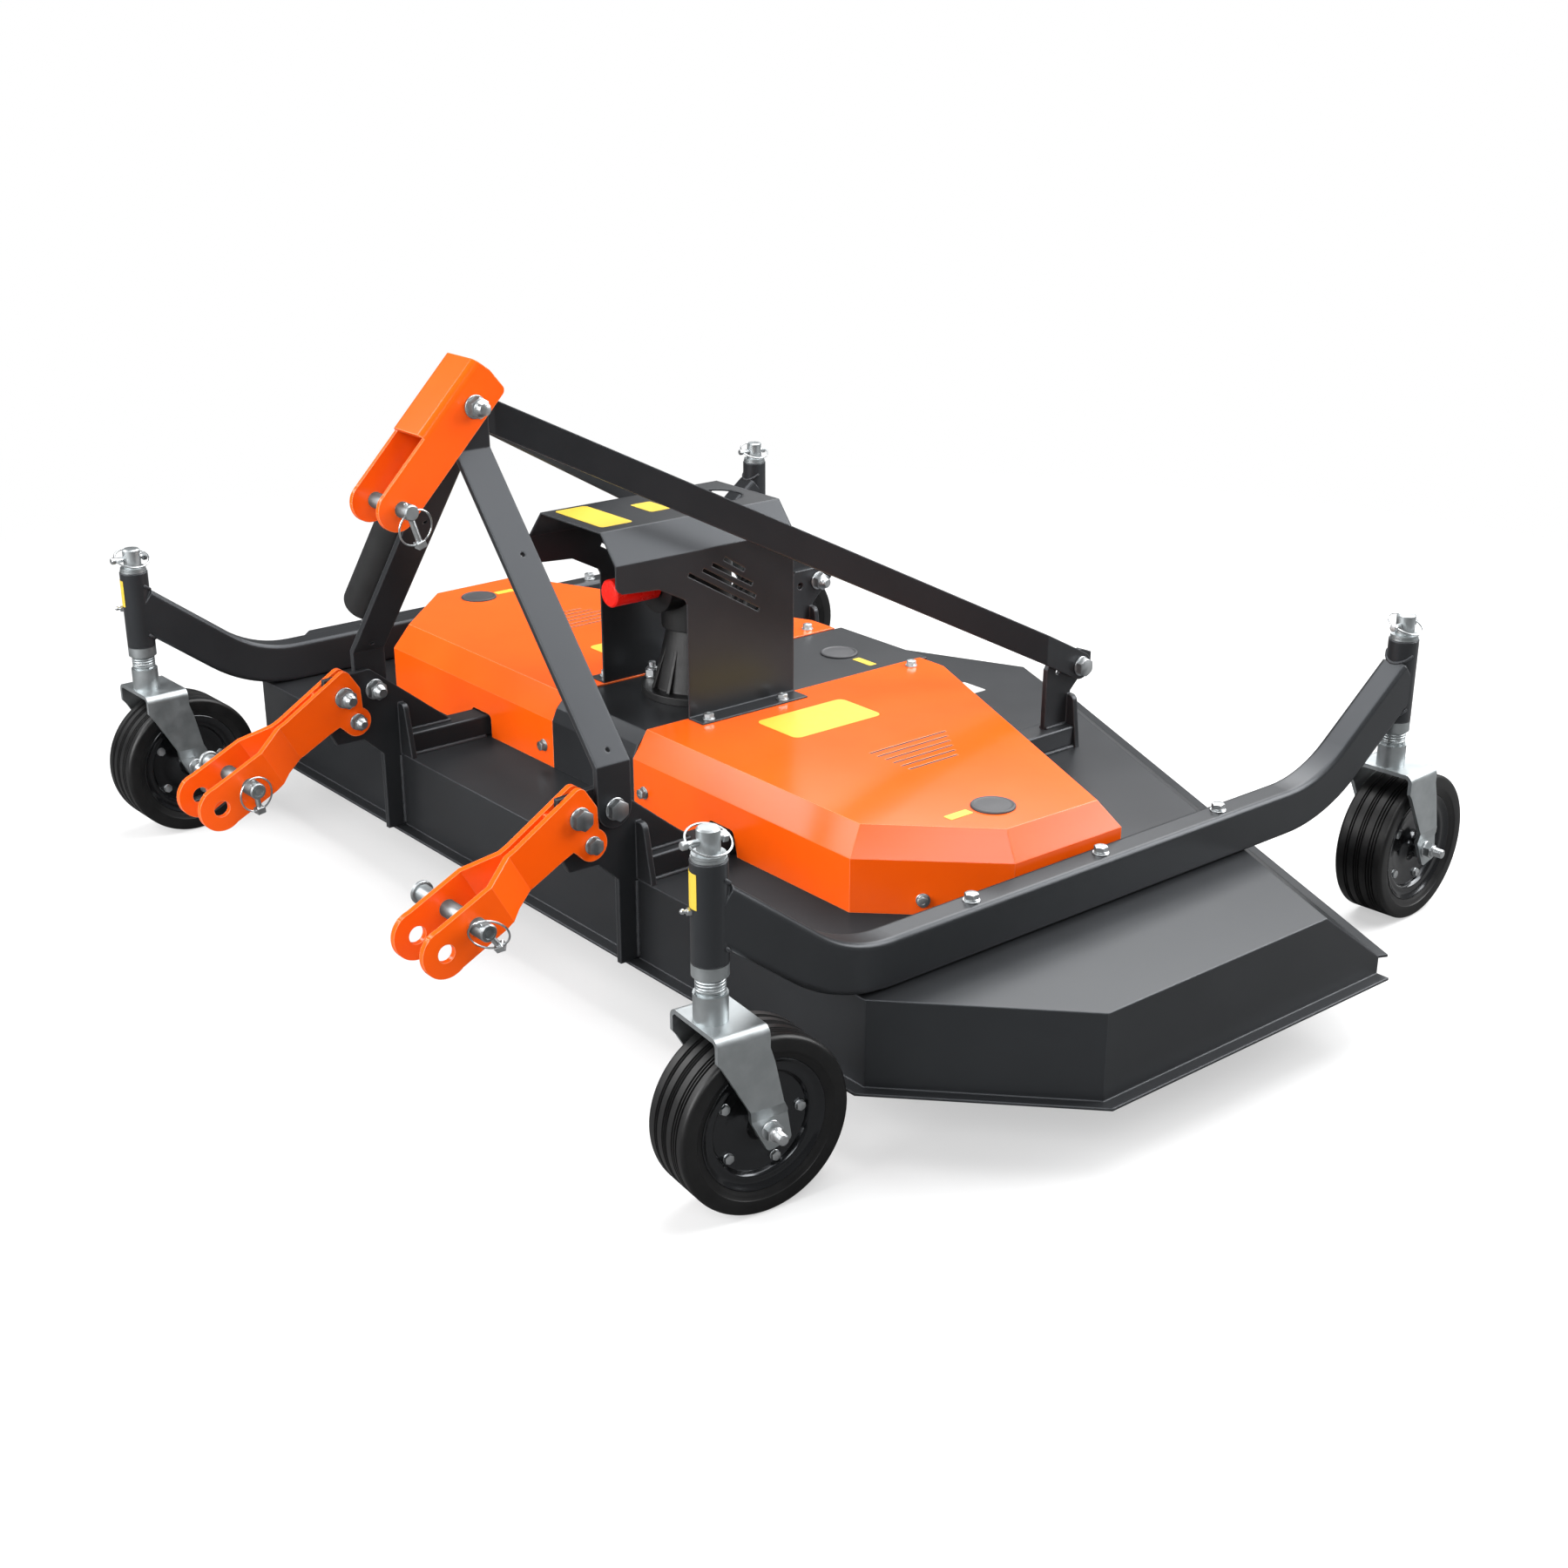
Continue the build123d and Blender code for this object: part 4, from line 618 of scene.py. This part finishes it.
def casters():
    """Linchpin, axle bolt, swivel spring and grease nipple of each caster."""
    for name in CASTERS:
        swivel = joints[f"caster_{name}_swivel"]
        spin = joints[f"wheel_{name}_spin"]
        body = f"caster_{name}"
        axle = Vector(spin["axis"])
        ahead = Z.cross(axle)
        top = Vector((*swivel["pos_m"][:2], PIN_TOP - 0.018))
        tilt = (Z + 0.42 * axle).normalized()
        linchpin(body, top, ahead, tilt, (0.041, 0.024), (0.031, 0.031), body, 0.0058, True)
        hardware = bmesh.new()
        through_bolt(hardware, Vector(spin["pos_m"]), -axle, -AXLE_HALF, AXLE_HALF, 0.016, 0.024)
        end = facing(Vector(spin["pos_m"]) + axle * 0.0705, axle)
        thread(hardware, end, 0.008, 0.018, 0.002)
        piece(f"axle_{name}", hardware, BOLT_ZINC, body, 30, (f"caster_axle_{name}",))
        coil = bmesh.new()
        seat = Vector((*swivel["pos_m"][:2], SLEEVE_TOP - 0.188))
        turns = [2 * math.pi * i / 24 for i in range(24 * COIL_TURNS + 1)]
        rise = 0.0216 / turns[-1]
        wire(coil, [seat + Vector((COIL_R * math.cos(t), COIL_R * math.sin(t), 0.0022 + rise * t))
                    for t in turns], COIL_WIRE, 8)
        piece(f"swivel_spring_{name}", coil, FINISHES["zinc"], body)
        nipple = bmesh.new()
        out = Vector((-0.35, math.copysign(1, swivel["pos_m"][1]), 0)).normalized()
        seat = Vector((*swivel["pos_m"][:2], SLEEVE_TOP - 0.070)) + out * 0.0245
        place = facing(seat, out + 0.15 * Z)
        hexagon(nipple, place, 0.010, 0.006)
        lathe(nipple, [(0.003, 0.006), (0.0026, 0.009), (0.0038, 0.011), (0.0036, 0.0135), (0.002, 0.0155),
                       (0, 0.0158)], place, 16)
        piece(f"grease_nipple_{name}", nipple, BOLT_ZINC, "root")


# hitch: bolts through the plates, pins and their linchpins
HITCH_PIN = Vector(next(m["pos_m"] for m in frame["record"]["mounts"] if m["name"] == "lower_hitch_pin_left"))
TOP_PIN = Vector(next(m["pos_m"] for m in frame["record"]["mounts"] if m["name"] == "top_link_pin"))
CLEVIS_BIG = Vector((0, -0.6175, 0.380))
CLEVIS_SMALL = Vector((0, -0.5955, 0.331))
MAST_FOOT = Vector((0, -0.5525, 0.380))
STAY_REAR = Vector((0, 0.478, 0.396))
# how each lower pin's linchpin hangs: direction of its hole, its ring's normal, reach and ring
HITCH_LINCHPINS = {
    "left": ((0, 0.602, -0.799), (0.70, -0.59, -0.41), (0.022, 0.040), (0.040, 0.030)),
    "right": ((0, 0.122, -0.993), (0.995, 0.08, 0.01), (0.020, 0.038), (0.038, 0.0295)),
}


def frame_bolts():
    """Bolts at the hitch and rear brackets: (place, thickness inwards, thickness outwards, size, across)."""
    table = (
        (CLEVIS_BIG, 0.015, 0.015, 0.020, 0.030),
        (CLEVIS_SMALL, 0.015, 0.015, 0.016, 0.024),
        (MAST_FOOT, 0.005, 0.015, 0.020, 0.030),
        (STAY_REAR, 0.005, 0.015, 0.020, 0.030),
    )
    for side, sign in SIDES:
        mesh = bmesh.new()
        for place, inwards, outwards, size, across in table:
            centre = Vector((sign * RAIL_X, place.y, place.z))
            through_bolt(mesh, centre, sign * X, -inwards, outwards, size, across)
        piece(f"plate_bolts_{side}", mesh, BOLT_ZINC, "root", 30, (f"frame_bolts_{side}",))
    mast = bmesh.new()
    through_bolt(mast, MAST_TOP, -X, -0.0455, 0.0455, 0.020, 0.030)
    thread(mast, facing(MAST_TOP + X * 0.066, X), 0.010, 0.012, 0.0025)
    piece("mast_bolt_dressed", mast, BOLT_ZINC, "root", 30, ("mast_bolt",))


def hitch_pins():
    """Lower link pins and the top clevis's pin, each with a head, a step at the tip and a linchpin."""
    for side, sign in SIDES:
        x0 = sign * RAIL_X
        pin = bmesh.new()
        head, tip = x0 - 0.1165, x0 + 0.079
        at = Vector((head, HITCH_PIN.y, HITCH_PIN.z))
        length = tip - head
        lathe(pin, [(0, 0), (0.0125, 0), (0.0135, 0.001), (0.0135, 0.0025), (0.0175, 0.003), (0.019, 0.0045),
                    (0.019, 0.0075), (0.0175, 0.009), (0.0141, 0.0095), (0.014, 0.012),
                    (0.014, length - 0.002), (0.012, length), (0.0092, length), (0.0084, length - 0.003),
                    (0.0056, length - 0.003), (0.005, length - 0.0006), (0, length - 0.0004)],
              facing(at, X), 48)
        piece(f"lower_link_pin_{side}", pin, FINISHES["zinc"], "root", 30, (f"hitch_pin_{side}",))
        hole = Vector((tip - 0.012, HITCH_PIN.y, HITCH_PIN.z))
        linchpin(f"hitch_{side}", hole, *HITCH_LINCHPINS[side], "root")
    pin = bmesh.new()
    length = 0.132
    at = TOP_PIN - X * 0.057
    lathe(pin, [(0, 0), (0.016, 0), (0.0175, 0.0015), (0.0175, 0.0085), (0.016, 0.010), (0.0126, 0.0105),
                (0.0125, 0.013), (0.0125, length - 0.002), (0.0105, length), (0, length)], facing(at, X), 40)
    piece("top_pin_dressed", pin, FINISHES["zinc"], "top_link_clevis", 30, ("top_link_pin",))
    linchpin("top_link", TOP_PIN + X * 0.063, (0, 0.305, -0.952), (0.985, 0.053, -0.165), (0.016, 0.056),
             (0.0545, 0.029), "top_link_clevis")


# bolts on covers, tubes, guard and gearbox
def small_bolts():
    """One piece for each group of like bolts: (name, thread diameter, direction, places)."""
    tube_top = DECK_TOP + 0.076
    flange = COVER_TOP + 0.003
    groups = [
        ("tube_bolts", 0.012, Z,
         [(s * 0.880, y, tube_top) for _, s in SIDES for y in (-0.283, -0.010, 0.264)]),
        ("guard_bolts", 0.010, Z, [(s * 0.152, y, flange) for _, s in SIDES for y in (-0.1985, -0.0365)]),
        ("cover_top_bolts", 0.010, Z, [(s * 0.148, 0.2725, COVER_TOP) for _, s in SIDES]),
        ("cover_front_bolts", 0.010, -Y, [(s * 0.1515, COVER_FOOT, 0.283) for _, s in SIDES]),
    ]
    for side, sign in SIDES:
        groups.append((f"cover_corner_bolt_{side}", 0.010, Vector((sign * 0.718, -0.696, 0)),
                       [(sign * 0.752, -0.257, 0.2725)]))
    for name, size, direction, places in groups:
        mesh = bmesh.new()
        for place in places:
            flange_bolt(mesh, Vector(place), direction, size)
        piece(name, mesh, BOLT_ZINC, "root", 30)


def gearbox_nuts():
    """Four studs with their nuts, around the gearbox's foot flange."""
    studs = bmesh.new()
    for turn in (math.radians(a) for a in (30, 150, 210, 330)):
        foot = GEARBOX_FLANGE + 0.088 * Vector((math.cos(turn), math.sin(turn), 0))
        washer(studs, facing(foot, Z), 0.0135, 0.003)
        dome_nut(studs, facing(foot + 0.003 * Z, Z), 0.023, 0.016)
        thread(studs, facing(foot + 0.018 * Z, Z), 0.0065, 0.010, 0.0018)
    piece("gearbox_nuts", studs, BOLT_ZINC, "root", 30)


def gearbox_webs():
    """Cast webs between the gearbox's foot flange and its housing."""
    side_view = ((0.050, 0), (0.086, 0), (0.082, 0.010), (0.056, 0.085), (0.048, 0.085))
    webs = bmesh.new()
    for turn in (math.radians(a) for a in (0, 75, 105, 180, 255, 285)):
        out = Vector((math.cos(turn), math.sin(turn), 0))
        side = Z.cross(out) * 0.0035
        outline = [GEARBOX_FLANGE + out * reach + Z * height for reach, height in side_view]
        near = [webs.verts.new(p - side) for p in outline]
        far = [webs.verts.new(p + side) for p in outline]
        bridge(webs, (near, far))
        webs.faces.new(near)
        webs.faces.new(far)
    piece("gearbox_webs", webs, FINISHES["cast_iron"], "root", 30)


# caps over the spindles, dark sheets of painted shade under the vents, and blank plates
SPINDLES = [joints[f"blade_{name}_spin"]["pos_m"] for name in ("left", "right", "centre")]


def caps():
    """Round caps pressed into the covers over the three spindles."""
    mesh = bmesh.new()
    for x, y, _ in SPINDLES:
        top = COVER_TOP if abs(x) > 0.1 else COVER_TOP - 0.003
        lathe(mesh, [(0.0352, 0), (0.0352, 0.0020), (0.0340, 0.0032), (0.0315, 0.0036), (0.0295, 0.0026),
                     (0.027, 0.0026), (0.010, 0.0036), (0, 0.0038)], facing((x, y, top), Z), 64)
    piece("spindle_caps", mesh, CAP_GREY, "root")


def painted_shade_under_vents():
    """Dark sheets just under the tops of the belt covers' vent slots: painted shade standing in for the dark
    inside of the covers.
    """
    for side, sign in SIDES:
        mesh = bmesh.new()
        for i in range(6):
            long = 0.170 - 0.0126 * i
            x = SPINDLES[0][0] - 0.292 + 0.0189 * i
            y = SPINDLES[0][1] + 0.0079 + long / 2
            plate(mesh, Matrix.Translation((sign * x, y, COVER_TOP - 0.0028)), 0.005, long, 0.0022, 0.0003)
        piece(f"painted_shade_under_vents_{side}", mesh, FINISHES["black_plastic"], "root")


def blank_plates():
    """Thin blank plates on top faces, as (name, centre, size along x and y), then two around sleeves."""
    flat = (
        ("plate_cover_left", (0.2625, -0.046, COVER_TOP), 0.109, 0.192),
        ("plate_cover_right", (-0.2675, -0.025, COVER_TOP), 0.109, 0.192),
        ("plate_cap_left", (0.731, -0.168, COVER_TOP), 0.018, 0.046),
        ("plate_cap_right", (-0.740, -0.040, COVER_TOP), 0.018, 0.042),
        ("plate_cap_centre", (0.070, 0.227, COVER_TOP - 0.003), 0.050, 0.017),
        ("plate_guard_front", (-0.008, -0.312, GUARD_TOP), 0.140, 0.064),
        ("plate_guard_rear", (-0.004, -0.198, GUARD_TOP), 0.062, 0.042),
    )
    for name, centre, wide, long in flat:
        mesh = bmesh.new()
        plate(mesh, Matrix.Translation(centre), wide, long, 0.0005, min(wide, long) * 0.12)
        piece(name, mesh, BLANK_YELLOW, "root")
    mesh = bmesh.new()
    plate(mesh, Matrix.Translation((0.026, 0.540, DECK_TOP)), 0.062, 0.042, 0.0005, 0.003)
    piece("plate_deck", mesh, BLANK_WHITE, "root")
    for name in ("front_left", "front_right"):
        x, y, _ = joints[f"caster_{name}_swivel"]["pos_m"]
        mesh = bmesh.new()
        inner, outer = [], []
        for i in range(13):
            turn = math.radians(-148 + 6 * i)
            out = Vector((math.cos(turn), math.sin(turn), 0))
            for row, radius in ((inner, SLEEVE_R + 0.0001), (outer, SLEEVE_R + 0.0006)):
                foot = Vector((x, y, SLEEVE_TOP - 0.064)) + out * radius
                row.append([mesh.verts.new(foot), mesh.verts.new(foot + 0.050 * Z)])
        bridge(mesh, [[a[0], a[1], b[1], b[0]] for a, b in zip(inner, outer)])
        for a, b in ((inner[0], outer[0]), (inner[-1], outer[-1])):
            mesh.faces.new((a[0], a[1], b[1], b[0]))
        piece(f"plate_sleeve_{name}", mesh, BLANK_YELLOW, "root")


# beads along the rails' feet and along the brackets on their tops: both ends of each, along y
FOOT_BEADS = ((-0.495, -0.345), (0.365, 0.452))
TOP_BEADS = ((-0.492, -0.405), (0.402, 0.452))


def weld_beads():
    """Beads where rails, brackets and sleeves are welded on."""
    for side, sign in SIDES:
        mesh = bmesh.new()
        for edge in (-0.0262, 0.0262):
            x = sign * RAIL_X + edge
            for start, end in FOOT_BEADS:
                weld(mesh, [(x, start, DECK_TOP + 0.001), (x, end, DECK_TOP + 0.001)], 0.0040)
        for edge in (-0.0055, 0.0055):
            x = sign * RAIL_X + edge
            weld(mesh, [(x, DECK_FRONT - 0.0008, 0.116), (x, DECK_FRONT - 0.0008, DECK_TOP - 0.002)], 0.0038)
            for start, end in TOP_BEADS:
                weld(mesh, [(x, start, RAIL_TOP + 0.001), (x, end, RAIL_TOP + 0.001)], 0.0036)
        piece(f"frame_welds_{side}", mesh, FINISHES["black_paint"], "root", 60)
    # where a side tube's sloping end runs into its sleeves
    for name in CASTERS:
        x, y, _ = joints[f"caster_{name}_swivel"]["pos_m"]
        inwards = -math.copysign(1, y)
        middle = SLEEVE_TOP - SLEEVE_HIGH * 0.46
        mesh = bmesh.new()
        for above in (0.0478, -0.0478):
            arc = []
            for i in range(25):
                turn = math.radians(-75 + 6.25 * i)
                reach = SLEEVE_R * math.cos(turn)
                fall = 0.762 * reach
                arc.append((x + SLEEVE_R * math.sin(turn), y + inwards * reach, middle + above - fall))
            weld(mesh, arc, 0.0028)
        piece(f"sleeve_weld_{name}", mesh, FINISHES["black_paint"], "root", 60)


# studio
def light(name, place, target, size, power):
    """Rectangular softbox that looks at a point."""
    data = bpy.data.lights.new(name, "AREA")
    data.shape = "RECTANGLE"
    data.size, data.size_y = size
    data.energy = power
    lamp = bpy.data.objects.new(name, data)
    lamp.matrix_world = facing(Vector(place), Vector(place) - Vector(target))
    scene.collection.objects.link(lamp)


def studio():
    """Pale floor that keeps the shadow, white backdrop and the softboxes."""
    floor = bmesh.new()
    bmesh.ops.create_grid(floor, x_segments=1, y_segments=1, size=30)
    data = bpy.data.meshes.new("studio_floor")
    floor.to_mesh(data)
    floor.free()
    ground = bpy.data.objects.new("studio_floor", data)
    scene.collection.objects.link(ground)
    paper = bpy.data.materials.new("white paper floor")
    paper.use_nodes = True
    tree = paper.node_tree
    shader = tree.nodes["Principled BSDF"]
    shader.inputs["Roughness"].default_value = 0.9
    shader.inputs["Specular IOR Level"].default_value = 0.1
    path = tree.nodes.new("ShaderNodeLightPath").outputs
    # paler for the camera than for the light it throws back, darkest where the machine mirrors it
    below = None
    for ray, shade in (("Is Glossy Ray", 0.15), ("Is Camera Ray", 0.88)):
        pick = tree.nodes.new("ShaderNodeMix")
        pick.data_type = "RGBA"
        tree.links.new(path[ray], pick.inputs[0])
        if below is None:
            pick.inputs[6].default_value = (0.45, 0.45, 0.45, 1)
        else:
            tree.links.new(below, pick.inputs[6])
        pick.inputs[7].default_value = (shade, shade, shade, 1)
        below = pick.outputs[2]
    tree.links.new(below, shader.inputs["Base Color"])
    # a white glow that takes over away from the machine, so the floor runs out into the backdrop
    away = tree.nodes.new("ShaderNodeVectorMath")
    away.operation = "LENGTH"
    tree.links.new(tree.nodes.new("ShaderNodeTexCoord").outputs["Object"], away.inputs[0])
    spread = tree.nodes.new("ShaderNodeMapRange")
    for socket, value in (("From Min", 1.2), ("From Max", 3.4), ("To Min", 0.5), ("To Max", 1.0)):
        spread.inputs[socket].default_value = value
    tree.links.new(away.outputs["Value"], spread.inputs["Value"])
    share = tree.nodes.new("ShaderNodeMath")
    share.operation = "MULTIPLY"
    tree.links.new(path["Is Camera Ray"], share.inputs[0])
    tree.links.new(spread.outputs["Result"], share.inputs[1])
    glow = tree.nodes.new("ShaderNodeEmission")
    mix = tree.nodes.new("ShaderNodeMixShader")
    tree.links.new(share.outputs[0], mix.inputs[0])
    tree.links.new(shader.outputs[0], mix.inputs[1])
    tree.links.new(glow.outputs[0], mix.inputs[2])
    tree.links.new(mix.outputs[0], tree.nodes["Material Output"].inputs["Surface"])
    data.materials.append(paper)

    world = bpy.data.worlds.new("studio_room")
    scene.world = world
    world.use_nodes = True
    tree = world.node_tree
    ambient = tree.nodes["Background"]
    ambient.inputs["Color"].default_value = (0.95, 0.97, 1.0, 1)
    ambient.inputs["Strength"].default_value = 0.18
    white = tree.nodes.new("ShaderNodeBackground")
    white.inputs["Color"].default_value = (1, 1, 1, 1)
    path = tree.nodes.new("ShaderNodeLightPath")
    mix = tree.nodes.new("ShaderNodeMixShader")
    tree.links.new(path.outputs["Is Camera Ray"], mix.inputs[0])
    tree.links.new(ambient.outputs[0], mix.inputs[1])
    tree.links.new(white.outputs[0], mix.inputs[2])
    tree.links.new(mix.outputs[0], tree.nodes["World Output"].inputs["Surface"])

    light("overhead_softbox", (0.3, 1.6, 3.4), (0.3, 1.6, 0), (4.0, 5.0), 250)
    light("front_softbox", (-0.4, -3.7, 1.7), (0, -0.3, 0.3), (3.6, 2.2), 160)
    light("rear_side_softbox", (2.3, 2.9, 2.3), (0, 0, 0.4), (2.2, 2.4), 135)
    light("left_softbox", (-3.2, -2.7, 3.0), (0, -0.2, 0.3), (1.8, 1.6), 62)
    light("rear_softbox", (-1.5, 2.8, 3.0), (0.8, -0.1, 0.25), (3.0, 1.9), 62)
    light("key_softbox", (3.5, -2.9, 2.95), (0.7, -0.3, 0.35), (2.0, 1.5), 62)


def camera():
    """Stands at the machine's front left, above its mast."""
    data = bpy.data.cameras.new("camera")
    cam = bpy.data.objects.new("camera", data)
    scene.collection.objects.link(cam)
    data.lens = 48.37
    data.sensor_width = 36
    data.shift_x = -0.0147
    data.shift_y = 0.0012
    heading = Matrix.Rotation(0.8704, 4, "Z")
    pitch = Matrix.Rotation(math.pi / 2 - 0.3711, 4, "X")
    roll = Matrix.Rotation(0.0042, 4, "Z")
    cam.matrix_world = Matrix.Translation((2.8426, -2.2478, 1.5768)) @ heading @ pitch @ roll
    scene.camera = cam


finish_nodes()
wheels()
casters()
frame_bolts()
hitch_pins()
small_bolts()
gearbox_nuts()
gearbox_webs()
caps()
painted_shade_under_vents()
blank_plates()
weld_beads()
studio()
camera()
scene.view_settings.view_transform = "Standard"
